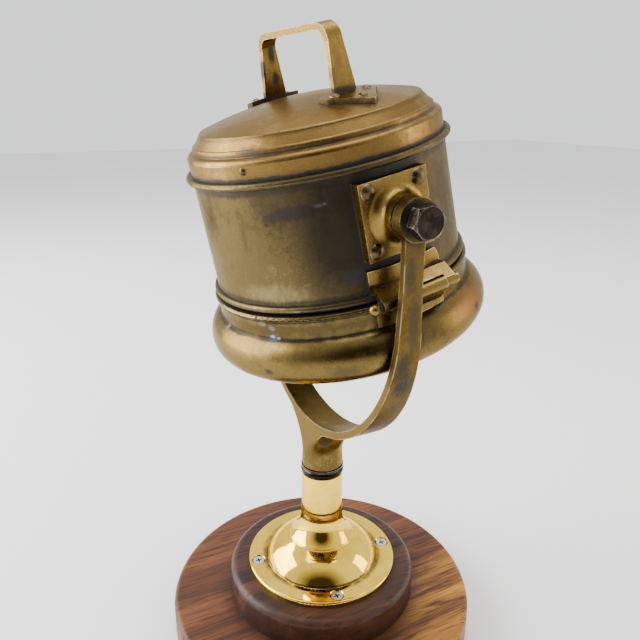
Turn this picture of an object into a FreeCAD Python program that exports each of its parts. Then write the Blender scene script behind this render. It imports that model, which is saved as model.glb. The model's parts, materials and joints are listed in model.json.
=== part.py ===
"""Binnacle compass: a hooded gimballed compass in a tilting yoke on a turned pedestal and a two-step base.

Millimetres.  The origin is the centre of the underside, +Z is up and +X runs along the trunnion axis.
Three frames are used: the stand's own, the head's (origin on the trunnion axis, tilted about X)
and the bowl's (origin where the gimbal axes cross, always level).
"""
import FreeCAD, Part
import math
import os
import Sketcher

V = FreeCAD.Vector
Placement = FreeCAD.Placement
Rotation = FreeCAD.Rotation

SIZES = {
    # running clearances
    "fit": 0.05, "gap": 0.3, "seam": 0.1,
    # wooden base and its felt
    "base_radius": 95.6, "felt_radius": 93.6, "felt_top": 1.5, "base_top": 21.5, "base_round": 3.5,
    "tier_radius": 59.0, "tier_top": 41.4, "tier_round": 5.0,
    # pedestal casting
    "flange_radius": 47.0, "flange_top": 44.4, "flange_round": 1.4,
    "bell_radius": 35.1, "bell_round": 1.0, "bell_arc": 26.0, "shoulder_radius": 24.5, "shoulder": 12.2,
    "shoulder_arc": 60.0, "bell_wall": 3.0, "ring_radius": 20.4, "ring_bottom": 14.6, "ring_height": 1.5,
    "neck_flare": 19.0,
    "neck_radius": 13.3, "neck_bottom": 32.6, "neck_top": 36.0,
    # post, collar and the spigot that turns in it
    "post_radius": 12.7, "post_bottom": 20.0, "post_shoulder": 36.2, "post_top": 60.9,
    "post_plug_radius": 10.5, "spigot_radius": 8.0,
    "collar_radius": 12.9, "collar_top": 66.6,
    # wood screws through the flange
    "screw_circle": 41.2, "screw_angle": -14.6, "screw_head": 3.5, "screw_cone": 2.4, "screw_shank": 1.8,
    "screw_length": 15.0, "screw_sunk": 0.5, "sink_radius": 4.4, "sink_depth": 3.2,
    # yoke
    "trunnion_height": 275.5, "stem_radius": 12.5, "stem_bottom": 66.9,
    "arm_inner": 80.9, "arm_outer": 84.4, "bow_centre": 179.5, "bow_depth": 85.4, "bow_arc": 84.9,
    "bow_half_width": 9.3, "arm_half_width": 5.2, "arm_narrow_from": 200.0, "arm_fillet": 7.0,
    "eye_radius": 10.0, "eye_inner": 79.7, "eye_outer": 86.0, "spigot_bore": 2.55, "spigot_bore_depth": 14.0,
    "dimple_ball": 12.0, "dimple_depth": 0.9,
    # head attitude and drum
    "tilt": 12.68, "drum_radius": 66.4, "drum_taper": 0.025, "sheet": 1.2, "drum_bottom": -38.0,
    "foot_bead_radius": 67.75, "foot_bead": 1.75, "top_bead_radius": 67.45, "top_bead": 1.65,
    "top_bead_bottom": 22.3, "collar_height": 7.4,
    # lid
    "lid_radius": 65.9, "lid_skirt_top": 33.0, "lid_shoulder_radius": 64.6, "lid_shoulder": 35.2,
    "lid_groove_radius": 62.5, "lid_groove": 36.3, "lid_lip_radius": 61.1, "lid_lip": 39.0,
    "dome_radius": 57.2, "dome_edge": 44.2, "dome_top": 52.1, "lid_sheet": 1.2,
    # handle
    "handle_turn": 9.0, "handle_x": -1.2, "handle_y": 1.7, "leg_foot": 31.7, "leg_head": 30.1,
    "strap": 3.2, "strap_foot": 2.0, "grip_top": 83.3, "grip_corner": 8.5, "leg_half_width": 6.6,
    "grip_half_width": 4.3, "foot_half_length": 15.2, "foot_inner": 30.0, "foot_tip": 52.6,
    "foot_thickness": 2.4, "foot_corner": 3.4, "foot_rivet_span": 9.9, "foot_rivet_in": 35.0,
    "foot_rivet_out": 45.2, "foot_rivet_side": 1.2, "foot_rivet_head": 2.5, "foot_rivet_shank": 1.5,
    # trunnion plates, bolts and rivets
    "plate_half": 18.0, "plate_face": 69.6, "boss_foot": 15.0, "boss_radius": 10.2, "boss_face": 78.9,
    "boss_flare": 5.5, "bolt_radius": 4.76, "bolt_end": 69.5, "bolt_neck_seat": 86.2, "bolt_neck_radius": 6.2,
    "bolt_head_seat": 87.9, "bolt_head_end": 94.0, "bolt_across_flats": 14.3, "bolt_turn": 30.0,
    "plate_rivet_y": 13.3, "plate_rivet_h": 13.7, "plate_rivet_head": 3.75, "plate_rivet_shank": 2.0,
    "plate_rivet_end": 62.6,
    # lid screws
    "lid_screw_height": 30.8, "lid_screw_head": 1.8, "lid_screw_shank": 1.1, "lid_screw_angle": -56.6,
    # hinge between the drum and the bezel
    "hinge_x": 74.6, "hinge_h": -37.8, "knuckle_radius": 3.2, "pin_radius": 1.6, "pin_ball": 3.0,
    "knuckle_left": -18.5, "knuckle_middle": -8.0, "knuckle_right": 17.0, "knuckle_end": 24.0,
    "small_knuckle": 2.5, "leaf": 1.4, "drum_leaf_top": -22.8, "drum_leaf_right": 22.5,
    "bezel_leaf_right": 20.0, "bezel_leaf_bottom": -50.4, "bezel_leaf_top": -42.4,
    # bezel
    "bezel_top": -39.2, "bezel_spigot_top": -35.6, "bezel_spigot": 65.5, "neck_outer": 69.6,
    "bezel_bead": 1.2, "bezel_bead_radius": 69.3, "bulge_top": -51.0, "bulge_centre_r": 66.4,
    "bulge_centre_h": -64.3, "bulge": 11.7, "bezel_wall": 1.5, "bezel_mouth": 60.0, "glass_radius": 63.0,
    "glass": 3.0, "gasket": 0.8, "retainer_radius": 66.2, "retainer_lip": 61.0, "retainer_cap": 1.5,
    "retainer_screw_circle": 64.8, "small_shank": 0.9,
    # gimbal
    "gimbal_drop": -6.0, "ring_inner": 52.5, "ring_outer": 56.0, "ring_half_height": 4.0,
    "gimbal_pin": 2.0, "bracket_face": 57.6, "bracket_half_width": 6.0,
    # bowl
    "bowl_radius": 42.0, "bowl_wall": 1.5, "bowl_top": 20.0, "bowl_bottom": -21.0, "rim_radius": 44.2,
    "rim": 2.0, "bowl_glass": 2.0, "cover_inner": 37.0, "cover": 1.2, "ballast_radius": 45.0,
    "ballast_bottom": -18.6, "ballast_height": 7.0,
    # card and its pivot
    "card_radius": 36.0, "card_bottom": -12.0, "card": 0.8, "float_radius": 14.0, "float_height": 7.0,
    "cap_radius": 4.0, "pivot_radius": 1.0, "bridge_bottom": -20.4, "bridge": 1.6, "bridge_half_width": 2.5,
    "magnet_half_length": 15.0, "magnet": 3.0, "magnet_offset": 18.5,
}

doc = FreeCAD.newDocument("binnacle_compass")
sheet = doc.addObject("Spreadsheet::Sheet", "Sizes")
for row, (alias, value) in enumerate(SIZES.items(), start=1):
    sheet.set("A%d" % row, alias)
    sheet.set("B%d" % row, str(value))
    sheet.setAlias("B%d" % row, alias)
doc.recompute()


class Dim:
    """A size with the expression that gives it, so one formula serves both the sketch and its binding."""

    def __init__(self, value, text):
        self.value = float(value)
        self.text = text

    @staticmethod
    def of(other):
        return other if isinstance(other, Dim) else Dim(other, "%.6g" % other)

    def __add__(self, other):
        other = Dim.of(other)
        return Dim(self.value + other.value, "(%s + %s)" % (self.text, other.text))

    def __sub__(self, other):
        other = Dim.of(other)
        return Dim(self.value - other.value, "(%s - %s)" % (self.text, other.text))

    def __mul__(self, other):
        other = Dim.of(other)
        return Dim(self.value * other.value, "(%s * %s)" % (self.text, other.text))

    def __truediv__(self, other):
        other = Dim.of(other)
        return Dim(self.value / other.value, "(%s / %s)" % (self.text, other.text))

    def __neg__(self):
        return Dim(-self.value, "(0 - %s)" % self.text)

    def __radd__(self, other):
        return Dim.of(other) + self

    def __rsub__(self, other):
        return Dim.of(other) - self

    def __rmul__(self, other):
        return Dim.of(other) * self


def root(size):
    return Dim(math.sqrt(size.value), "sqrt(%s)" % size.text)


class Cells:
    """Reads the sheet's aliases as attributes."""

    def __getattr__(self, alias):
        return Dim(sheet.get(alias), "Sizes." + alias)


d = Cells()
ABOVE = d.flange_top                    # pedestal heights are counted from the flange's top face

# ---------------------------------------------------------------- frames
STAND = Placement()
HEAD = Placement(V(0, 0, d.trunnion_height.value), Rotation(V(1, 0, 0), d.tilt.value))
BOWL = Placement(HEAD.multVec(V(0, 0, d.gimbal_drop.value)), Rotation())
HALF_TURN = Placement(V(), Rotation(V(0, 0, 1), 180))
HANDLE_TURN = Placement(V(), Rotation(V(0, 0, 1), d.handle_turn.value))
HANDLE_IN_HEAD = HANDLE_TURN.multiply(Placement(V(d.handle_x.value, d.handle_y.value, 0), Rotation()))
HANDLE = HEAD.multiply(HANDLE_IN_HEAD)
TOWARDS_X = Rotation(V(0, 1, 0), 90)

exported = []


# ---------------------------------------------------------------- document helpers
def new_body(label, frame):
    body = doc.addObject("PartDesign::Body", label)
    body.Label = label
    body.Placement = frame
    exported.append(body)
    return body


def origin_feature(body, role):
    return [feature for feature in body.Origin.OriginFeatures if feature.Role == role][0]


def bind(item, prop, size):
    size = Dim.of(size)
    if "Sizes." in size.text:
        item.setExpression(prop, size.text)


def sketch_on(body, role, offset=0.0):
    """Sketch on one of the body's origin planes, moved along the plane's normal."""
    offset = Dim.of(offset)
    sketch = body.newObject("Sketcher::SketchObject", body.Label + "_sketch")
    sketch.AttachmentSupport = [(origin_feature(body, role), "")]
    sketch.MapMode = "FlatFace"
    sketch.AttachmentOffset = Placement(V(0, 0, offset.value), Rotation())
    bind(sketch, "AttachmentOffset.Base.z", offset)
    return sketch


def locate(sketch, side, point, x, y):
    """Holds one point of the sketch at x, y."""
    for kind, axis, size in (("DistanceX", -2, x), ("DistanceY", -1, y)):
        if "Sizes." not in size.text and size.value == 0.0:
            sketch.addConstraint(Sketcher.Constraint("PointOnObject", side, point, axis))
        else:
            index = sketch.addConstraint(Sketcher.Constraint(kind, -1, 1, side, point, size.value))
            bind(sketch, "Constraints[%d]" % index, size)


def arc_between(start, end, radius):
    """Arc of less than half a turn; a positive radius turns anticlockwise from start to end."""
    chord = end - start
    left = V(-chord.y, chord.x, 0).normalize() * (1 if radius > 0 else -1)
    centre = (start + end) * 0.5 + left * math.sqrt(radius ** 2 - (chord.Length / 2) ** 2)
    angles = [math.atan2(point.y - centre.y, point.x - centre.x) for point in (start, end)]
    if radius < 0:
        angles.reverse()
    return Part.ArcOfCircle(Part.Circle(centre, V(0, 0, 1), abs(radius)), angles[0], angles[1])


def outline(sketch, corners):
    """Closed outline.  A corner is (x, y), or (x, y, radius) where an arc leaves it."""
    first = sketch.GeometryCount
    count = len(corners)
    points = [(Dim.of(corner[0]), Dim.of(corner[1])) for corner in corners]
    vectors = [V(x.value, y.value, 0) for x, y in points]
    ends = []
    for index, corner in enumerate(corners):
        start, end = vectors[index], vectors[(index + 1) % count]
        radius = Dim.of(corner[2]) if len(corner) == 3 else None
        if radius is None:
            sketch.addGeometry(Part.LineSegment(start, end), False)
        else:
            sketch.addGeometry(arc_between(start, end, radius.value), False)
        ends.append((1, 2) if radius is None or radius.value > 0 else (2, 1))
    for index in range(count):
        after = (index + 1) % count
        sketch.addConstraint(
            Sketcher.Constraint("Coincident", first + index, ends[index][1], first + after, ends[after][0]))
        locate(sketch, first + index, ends[index][0], *points[index])
        if len(corners[index]) == 3:
            radius = Dim.of(corners[index][2])
            size = radius if radius.value > 0 else -radius
            added = sketch.addConstraint(Sketcher.Constraint("Radius", first + index, size.value))
            bind(sketch, "Constraints[%d]" % added, size)


def circle(sketch, x, y, radius):
    x, y, radius = Dim.of(x), Dim.of(y), Dim.of(radius)
    side = sketch.addGeometry(Part.Circle(V(x.value, y.value, 0), V(0, 0, 1), radius.value), False)
    locate(sketch, side, 3, x, y)
    index = sketch.addConstraint(Sketcher.Constraint("Radius", side, radius.value))
    bind(sketch, "Constraints[%d]" % index, radius)


def box_outline(sketch, x0, y0, x1, y1):
    outline(sketch, [(x0, y0), (x1, y0), (x1, y1), (x0, y1)])


def volume(body):
    doc.recompute()
    return body.Shape.Volume if body.Shape.Solids else 0.0


def revolve(body, sketch, axis="V_Axis", cut=False):
    before = volume(body) if cut else 0.0
    feature = body.newObject("PartDesign::Groove" if cut else "PartDesign::Revolution", body.Label + "_turn")
    feature.Profile = sketch
    feature.ReferenceAxis = (sketch, [axis])
    feature.Angle = 360
    if cut:
        must_differ(body, before)
    return feature


def pad(body, sketch, length, symmetric=False):
    feature = body.newObject("PartDesign::Pad", body.Label + "_pad")
    feature.Profile = sketch
    feature.Length = Dim.of(length).value
    bind(feature, "Length", length)
    feature.Midplane = symmetric
    return feature


def pocket(body, sketch, depth=None, symmetric=False, reverse=False):
    """Cuts the sketch out of the body, all the way through when no depth is given."""
    before = volume(body)
    feature = body.newObject("PartDesign::Pocket", body.Label + "_pocket")
    feature.Profile = sketch
    if depth is None:
        feature.Type = "ThroughAll"
    else:
        feature.Length = Dim.of(depth).value
        bind(feature, "Length", depth)
    feature.Midplane = symmetric
    feature.Reversed = reverse
    must_differ(body, before)
    return feature


def must_differ(body, before):
    if abs(volume(body) - before) < 1e-3:
        raise RuntimeError("a cut in %s removes nothing" % body.Label)


def polar(body, feature, count):
    pattern = body.newObject("PartDesign::PolarPattern", body.Label + "_pattern")
    pattern.Originals = [feature]
    pattern.Axis = (origin_feature(body, "Z_Axis"), [""])
    pattern.Angle = 360
    pattern.Occurrences = count
    body.Tip = pattern
    return pattern


def turned(label, frame, corners):
    """Body made by turning one outline of (radius, height) corners about the frame's Z axis."""
    body = new_body(label, frame)
    sketch = sketch_on(body, "XZ_Plane")
    outline(sketch, corners)
    revolve(body, sketch)
    return body


def ring(label, frame, inner, outer, bottom, top):
    return turned(label, frame, [(inner, bottom), (outer, bottom), (outer, top), (inner, top)])


def drill(body, placement, radius, length):
    """Round hole from the placement's origin along its Z axis."""
    before = volume(body)
    hole = body.newObject("PartDesign::SubtractiveCylinder", body.Label + "_drill")
    hole.Radius = Dim.of(radius).value
    bind(hole, "Radius", radius)
    hole.Height = Dim.of(length).value
    bind(hole, "Height", length)
    hole.Placement = placement
    must_differ(body, before)
    return hole


def polar_point(radius, degrees, height=0.0):
    angle = math.radians(degrees)
    return V(radius * math.cos(angle), radius * math.sin(angle), height)


def outwards(degrees, radius, height):
    """Placement at a radius and bearing whose Z axis points away from the frame's Z axis."""
    return Placement(polar_point(radius, degrees, height), Rotation(V(0, 0, 1), degrees).multiply(TOWARDS_X))


# ---------------------------------------------------------------- fasteners
def solid_of_turning(points):
    """Solid turned about Z from (radius, height) corners, or (radius, height, mid_r, mid_h) before an arc."""
    edges = []
    for here, after in zip(points, points[1:] + points[:1]):
        start, end = V(here[0], 0, here[1]), V(after[0], 0, after[1])
        if len(here) == 4:
            edges.append(Part.Arc(start, V(here[2], 0, here[3]), end).toShape())
        else:
            edges.append(Part.LineSegment(start, end).toShape())
    return Part.Face(Part.Wire(edges)).revolve(V(), V(0, 0, 1), 360)


def domed_fastener(head, rise, shank, length):
    """Round-headed rivet or screw; its head sits on z = 0 and its shank points down."""
    ball = (head ** 2 + rise ** 2) / (2 * rise)
    half_angle = math.asin(head / ball) / 2
    crown = (ball * math.sin(half_angle), rise - ball + ball * math.cos(half_angle))
    return solid_of_turning([(0, -length), (shank, -length), (shank, 0), (head, 0) + crown, (0, rise)])


def cross_slot(across, width, depth, top):
    bar = Part.makeBox(across, width, depth, V(-across / 2, -width / 2, top - depth))
    return bar.fuse(Part.makeBox(width, across, depth, V(-width / 2, -across / 2, top - depth)))


def countersunk_screw():
    head, cone, shank = d.screw_head.value, d.screw_cone.value, d.screw_shank.value
    body = solid_of_turning([(0, -d.screw_length.value), (shank * 0.3, -d.screw_length.value),
                             (shank, -d.screw_length.value + 4), (shank, -cone), (head, -0.3), (head, 0),
                             (0, 0)])
    return body.cut(cross_slot(4.0, 0.9, 1.5, 0.0))


def slotted(blank, head, rise):
    return blank.cut(Part.makeBox(2 * head, head * 0.22, rise, V(-head, -head * 0.11, rise * 0.45)))


def hex_bolt():
    """Hexagon bolt along +Z from its shank's end; a turned neck holds the chamfered head off the yoke."""
    corner = d.bolt_across_flats.value / math.sqrt(3)
    seat, start, end = d.bolt_neck_seat.value, d.bolt_head_seat.value, d.bolt_head_end.value
    points = [polar_point(corner, d.bolt_turn.value + 60 * k, start) for k in range(7)]
    head = Part.Face(Part.makePolygon(points)).extrude(V(0, 0, end - start))
    chamfer = solid_of_turning([(0, start), (corner - 0.8, start), (corner + 1, start + 1.0),
                                (corner + 1, end - 2.0), (corner - 1.2, end), (0, end)])
    neck = Part.makeCylinder(d.bolt_neck_radius.value, start - seat + 0.5, V(0, 0, seat))
    shank = Part.makeCylinder(d.bolt_radius.value, start - d.bolt_end.value, V(0, 0, d.bolt_end.value))
    return head.common(chamfer).fuse(neck).fuse(shank).removeSplitter()


def fastener_group(label, frame, blank, places):
    """Identical fasteners of one node, each a solid of its own."""
    group = doc.addObject("Part::Feature", label)
    group.Label = label
    group.Shape = Part.makeCompound([blank.transformed(place.toMatrix()) for place in places])
    group.Placement = frame
    exported.append(group)
    return group


# ---------------------------------------------------------------- stand
def felt_pad():
    turned("felt_pad", STAND, [(0, 0), (d.felt_radius, 0), (d.felt_radius, d.felt_top), (0, d.felt_top)])


def base_disc():
    r, top, bend = d.base_radius, d.base_top, d.base_round
    turned("base_disc", STAND, [(0, d.felt_top), (r - 1.5, d.felt_top, 1.5), (r, d.felt_top + 1.5),
                                (r, top - bend, bend), (r - bend, top), (0, top)])


def flange_screw_places(height):
    return [Placement(polar_point(d.screw_circle.value, d.screw_angle.value + 90 * k, height), Rotation())
            for k in range(4)]


def base_tier():
    r, top, bend = d.tier_radius, d.tier_top, d.tier_round
    body = turned("base_tier", STAND, [(0, d.base_top), (r, d.base_top), (r, top - bend, bend),
                                       (r - bend, top), (0, top)])
    bottom = d.flange_top.value - d.screw_length.value - 1
    hole = drill(body, flange_screw_places(bottom)[0], d.screw_shank + d.fit, d.screw_length)
    polar(body, hole, 4)


def pedestal_base():
    """Flange, domed bell, waist ring and neck of the pedestal, cast hollow underneath."""
    wall, bore, edge, foot = d.bell_wall, d.post_plug_radius + d.fit, d.flange_round, d.bell_round
    ring_top = ABOVE + d.ring_bottom + d.ring_height
    body = turned("pedestal_base", STAND, [
        (d.bell_radius - wall, d.tier_top),
        (d.flange_radius, d.tier_top),
        (d.flange_radius, ABOVE - edge, edge),
        (d.flange_radius - edge, ABOVE),
        (d.bell_radius + foot, ABOVE, -foot),
        (d.bell_radius, ABOVE + foot, d.bell_arc),
        (d.shoulder_radius, ABOVE + d.shoulder, d.shoulder_arc),
        (d.ring_radius, ABOVE + d.ring_bottom, d.ring_height * 0.7),
        (d.ring_radius - 0.6, ring_top, -d.neck_flare),
        (d.neck_radius, ABOVE + d.neck_bottom),
        (d.neck_radius, ABOVE + d.neck_top),
        (bore, ABOVE + d.neck_top),
        (bore, ABOVE + d.post_bottom),
        (d.ring_radius - 2 * wall, ABOVE + d.post_bottom),
        (d.ring_radius - 2.0, ABOVE + d.ring_bottom - wall + 0.4, -d.bell_arc),
        (d.bell_radius - wall, ABOVE)])
    hole = drill(body, flange_screw_places(d.tier_top.value - 1)[0], d.screw_shank + d.fit, 10)
    polar(body, hole, 4)
    before = volume(body)
    sink = body.newObject("PartDesign::SubtractiveCone", "countersink")
    sizes = {"Radius1": d.screw_shank + 0.2, "Radius2": d.sink_radius, "Height": d.sink_depth}
    for prop, size in sizes.items():
        setattr(sink, prop, size.value)
        bind(sink, prop, size)
    sink.Placement = flange_screw_places((d.flange_top - d.sink_depth).value + 0.02)[0]
    must_differ(body, before)
    polar(body, sink, 4)


def pedestal_screws():
    places = flange_screw_places((d.flange_top - d.screw_sunk).value)
    fastener_group("pedestal_screws", STAND, countersunk_screw(), places)


def pedestal_post():
    bore, plug = d.spigot_radius + d.fit, d.post_plug_radius
    r, shoulder, top = d.post_radius, ABOVE + d.post_shoulder, ABOVE + d.post_top
    turned("pedestal_post", STAND, [(bore, ABOVE + d.post_bottom), (plug, ABOVE + d.post_bottom),
                                    (plug, shoulder), (r - 0.5, shoulder), (r, shoulder + 0.5), (r, top),
                                    (bore, top)])


def stem_collar():
    """Dark grooved ring that the yoke's stem turns on."""
    bore, r, bottom, top = d.spigot_radius + d.fit, d.collar_radius, ABOVE + d.post_top, ABOVE + d.collar_top
    turned("stem_collar", STAND, [(bore, bottom), (r - 0.9, bottom), (r, bottom + 0.9, 2.2),
                                  (r, bottom + 3.4), (r - 0.5, bottom + 3.9), (r + 0.1, bottom + 4.5),
                                  (r + 0.1, top), (bore, top)])


# ---------------------------------------------------------------- yoke
def rounded_section(body, height, half_x, half_y, corner):
    """Rounded rectangle at a height, one section of the stem's flare."""
    sketch = sketch_on(body, "XY_Plane", ABOVE + height)
    half_x, half_y, corner = Dim.of(half_x), Dim.of(half_y), Dim.of(corner)
    x, y = half_x - corner, half_y - corner
    outline(sketch, [(-x, -half_y), (x, -half_y, corner), (half_x, -y), (half_x, y, corner),
                     (x, half_y), (-x, half_y, corner), (-half_x, y), (-half_x, -y, corner)])
    return sketch


def yoke():
    """One forging: a stem and spigot, a flared junction, a bowed strap and an eye at each end."""
    body = new_body("yoke", STAND)
    centre = ABOVE + d.bow_centre
    inner, outer, top = d.arm_inner, d.arm_outer, d.trunnion_height
    sketch = sketch_on(body, "XZ_Plane")
    outline(sketch, [(-outer, top), (-outer, centre, d.bow_arc), (0, centre - d.bow_depth, d.bow_arc),
                     (outer, centre), (outer, top), (inner, top), (inner, centre, -inner),
                     (0, centre - inner, -inner), (-inner, centre), (-inner, top)])
    pad(body, sketch, 2 * d.bow_half_width, symmetric=True)
    narrow_arms(body, centre, top)
    sections = [rounded_section(body, 72, d.stem_radius, d.stem_radius, d.stem_radius - 0.05),
                rounded_section(body, 84, d.stem_radius + 1.2, d.stem_radius - 0.9, 9.5),
                rounded_section(body, 92, d.stem_radius + 6.5, d.stem_radius - 2.2, 5.0),
                rounded_section(body, 97, d.stem_radius + 13, d.bow_half_width + 0.2, 3.0),
                rounded_section(body, 101, d.stem_radius + 20.3, d.bow_half_width - 0.2, 1.5)]
    loft = body.newObject("PartDesign::AdditiveLoft", "stem_flare")
    loft.Profile = sections[0]
    loft.Sections = sections[1:]
    sketch = sketch_on(body, "XZ_Plane")
    circle(sketch, 0, centre, inner)
    pocket(body, sketch, symmetric=True)
    sketch = sketch_on(body, "XZ_Plane")
    stem, spigot = d.stem_radius, d.spigot_radius
    foot = ABOVE + d.post_bottom - d.gap
    outline(sketch, [(0, foot), (spigot, foot), (spigot, ABOVE + d.stem_bottom),
                     (stem - 0.4, ABOVE + d.stem_bottom), (stem, ABOVE + d.stem_bottom + 0.4),
                     (stem, ABOVE + 72), (stem - 2, ABOVE + 72), (stem - 2, ABOVE + 76), (0, ABOVE + 76)])
    revolve(body, sketch)
    for x in (d.eye_inner, -d.eye_outer):
        sketch = sketch_on(body, "YZ_Plane", x)
        circle(sketch, 0, top, d.eye_radius)
        pad(body, sketch, d.eye_outer - d.eye_inner)
    sketch = sketch_on(body, "YZ_Plane")
    circle(sketch, 0, top, d.bolt_radius + d.fit)
    pocket(body, sketch, symmetric=True)
    drill(body, Placement(V(0, 0, foot.value), Rotation()), d.spigot_bore, d.spigot_bore_depth)
    dimple(body)


def narrow_arms(body, centre, top):
    """Tapers the strap from the bow to the arms, which flare again into the eyes."""
    wide, slim, eye = d.bow_half_width, d.arm_half_width, d.eye_radius
    beyond, shoulder = wide + 2, eye * 0.8
    sketch = sketch_on(body, "YZ_Plane")
    for side in (1, -1):
        outline(sketch, [(side * wide, centre - d.bow_depth), (side * beyond, centre - d.bow_depth),
                         (side * beyond, top + 2), (side * shoulder, top + 2),
                         (side * shoulder, top - eye * 0.6, side * d.arm_fillet),
                         (side * slim, top - eye * 1.25), (side * slim, ABOVE + d.arm_narrow_from)])
    pocket(body, sketch, symmetric=True)


def dimple(body):
    """Shallow punched dimple on the near side of the stem's flare."""
    before = volume(body)
    ball = body.newObject("PartDesign::SubtractiveSphere", "dimple")
    ball.Radius = d.dimple_ball.value
    bind(ball, "Radius", d.dimple_ball)
    outward = V(0.85, -0.35, -0.40).normalize()
    on_flare = V(15.2, -6.1, ABOVE.value + 90.0)
    ball.Placement = Placement(on_flare + outward * (d.dimple_ball.value - d.dimple_depth.value), Rotation())
    must_differ(body, before)


def stem_fixings():
    """Washer and screw under the post that keep the spigot in it."""
    top = ABOVE + d.post_bottom - d.gap
    ring("stem_washer", STAND, 2.6, 11.0, top - 2, top)
    blank = slotted(domed_fastener(4.5, 3.0, 2.5, 12.0), 4.5, 3.0)
    place = Placement(V(0, 0, top.value - 2), Rotation(V(1, 0, 0), 180))
    fastener_group("stem_screw", STAND, blank, [place])


# ---------------------------------------------------------------- head: casing
def lid_screw_places(radius):
    return [outwards(d.lid_screw_angle.value + 120 * k, radius, d.lid_screw_height.value) for k in range(3)]


def plate_rivet_points():
    y, z = d.plate_rivet_y, d.plate_rivet_h
    return [(sy * y, sz * z) for sy in (1, -1) for sz in (1, -1)]


def drum_at(height):
    """Outer radius of the slightly tapered drum at a height on the head's axis."""
    return d.drum_radius - d.drum_taper * height


def drum():
    """Tapered sheet drum: a rolled bead at each end and a collar inside the lid's skirt."""
    bottom, foot, foot_bead = d.drum_bottom, d.foot_bead_radius, d.foot_bead
    ledge, top, top_bead = d.top_bead_bottom, d.top_bead_radius, d.top_bead
    collar, rim = d.lid_radius - d.lid_sheet - d.seam, ledge + 2 * top_bead
    body = turned("drum", HEAD, [
        (drum_at(bottom) - d.sheet, bottom), (foot, bottom, foot_bead),
        (foot + foot_bead, bottom + foot_bead, foot_bead),
        (foot, bottom + 2 * foot_bead), (drum_at(bottom + 2 * foot_bead), bottom + 2 * foot_bead),
        (drum_at(ledge), ledge), (top, ledge, top_bead), (top + top_bead, ledge + top_bead, top_bead),
        (top, rim), (collar, rim), (collar, rim + d.collar_height), (collar - d.sheet, rim + d.collar_height),
        (collar - d.sheet, ledge), (drum_at(ledge - 4) - d.sheet, ledge - 4)])
    sketch = sketch_on(body, "YZ_Plane")
    for y, z in plate_rivet_points():
        circle(sketch, y, z, d.plate_rivet_shank + d.fit)
    pocket(body, sketch, symmetric=True)
    hole = drill(body, lid_screw_places(60)[0], d.lid_screw_shank + d.fit, 12)
    polar(body, hole, 3)


def crown_radius():
    """Radius of the lid's dome, whose centre is on the axis."""
    rise = d.dome_top - d.dome_edge
    return (d.dome_radius * d.dome_radius + rise * rise) / (2 * rise)


def dome_height(radius):
    crown = crown_radius()
    return d.dome_top - crown + root(crown * crown - radius * radius)


def lid():
    """Spun cap: a plain skirt, rounded shoulder, groove, raised lip and a shallow dome."""
    t, skirt = d.lid_sheet, d.lid_radius
    bottom = d.top_bead_bottom + 2 * d.top_bead + d.seam
    shoulder, groove, lip = d.lid_shoulder_radius, d.lid_groove_radius, d.lid_lip_radius
    crown = crown_radius()
    edge, hollow = d.dome_radius - 1.0, d.dome_radius - 1.4
    body = turned("lid", HEAD, [
        (skirt - t, bottom), (skirt, bottom), (skirt, d.lid_skirt_top, 2.6), (shoulder, d.lid_shoulder),
        (groove + 0.6, d.lid_groove - 0.5, -0.7), (groove, d.lid_groove + 0.3),
        (groove - 0.2, d.lid_lip - 1.2, 1.3),
        (lip, d.lid_lip), (d.dome_radius + 0.5, d.dome_edge - 1.0, 1.6),
        (edge, dome_height(edge), crown), (0, d.dome_top), (0, d.dome_top - t, -crown),
        (hollow, dome_height(hollow) - t), (lip - t, d.lid_lip - 0.9), (groove - t - 0.2, d.lid_groove - t),
        (shoulder - 0.8, d.lid_shoulder - t), (skirt - t, d.lid_skirt_top + 0.2)])
    hole = drill(body, lid_screw_places(60)[0], d.lid_screw_shank + d.fit, 12)
    polar(body, hole, 3)
    for place in foot_rivet_places(-10):
        drill(body, HANDLE_IN_HEAD.multiply(place), d.foot_rivet_shank + d.fit, 20)


def lid_screws():
    seat, head = d.lid_radius.value, d.lid_screw_head.value
    blank = slotted(domed_fastener(head, 1.1, d.lid_screw_shank.value, 3.6), head, 1.1)
    fastener_group("lid_screws", HEAD, blank, lid_screw_places(seat))


def foot_rivet_places(above):
    """Rivet places in the handle's frame, square to the feet and a distance above their tops."""
    span, near, far = d.foot_rivet_span.value, d.foot_rivet_in.value, d.foot_rivet_out.value
    aside = d.foot_rivet_side.value
    ball = crown_radius().value + d.foot_thickness.value
    centre = V(-d.handle_x.value, -d.handle_y.value, (d.dome_top - crown_radius()).value)
    places = []
    for side in (1, -1):
        for x, y in ((side * near, span), (side * near, -span), (side * far, -side * aside)):
            across = V(x, y, 0) - V(centre.x, centre.y, 0)
            normal = V(across.x, across.y, math.sqrt(ball ** 2 - across.Length ** 2)).normalize()
            places.append(Placement(centre + normal * (ball + above), Rotation(V(0, 0, 1), normal)))
    return places


def on_head_axis(body):
    """Sketch on the handle's XZ plane whose V axis is the head's axis."""
    sketch = sketch_on(body, "XZ_Plane", d.handle_y)
    sketch.AttachmentOffset = Placement(V(-d.handle_x.value, 0, d.handle_y.value), Rotation())
    bind(sketch, "AttachmentOffset.Base.x", -d.handle_x)
    return sketch


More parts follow.
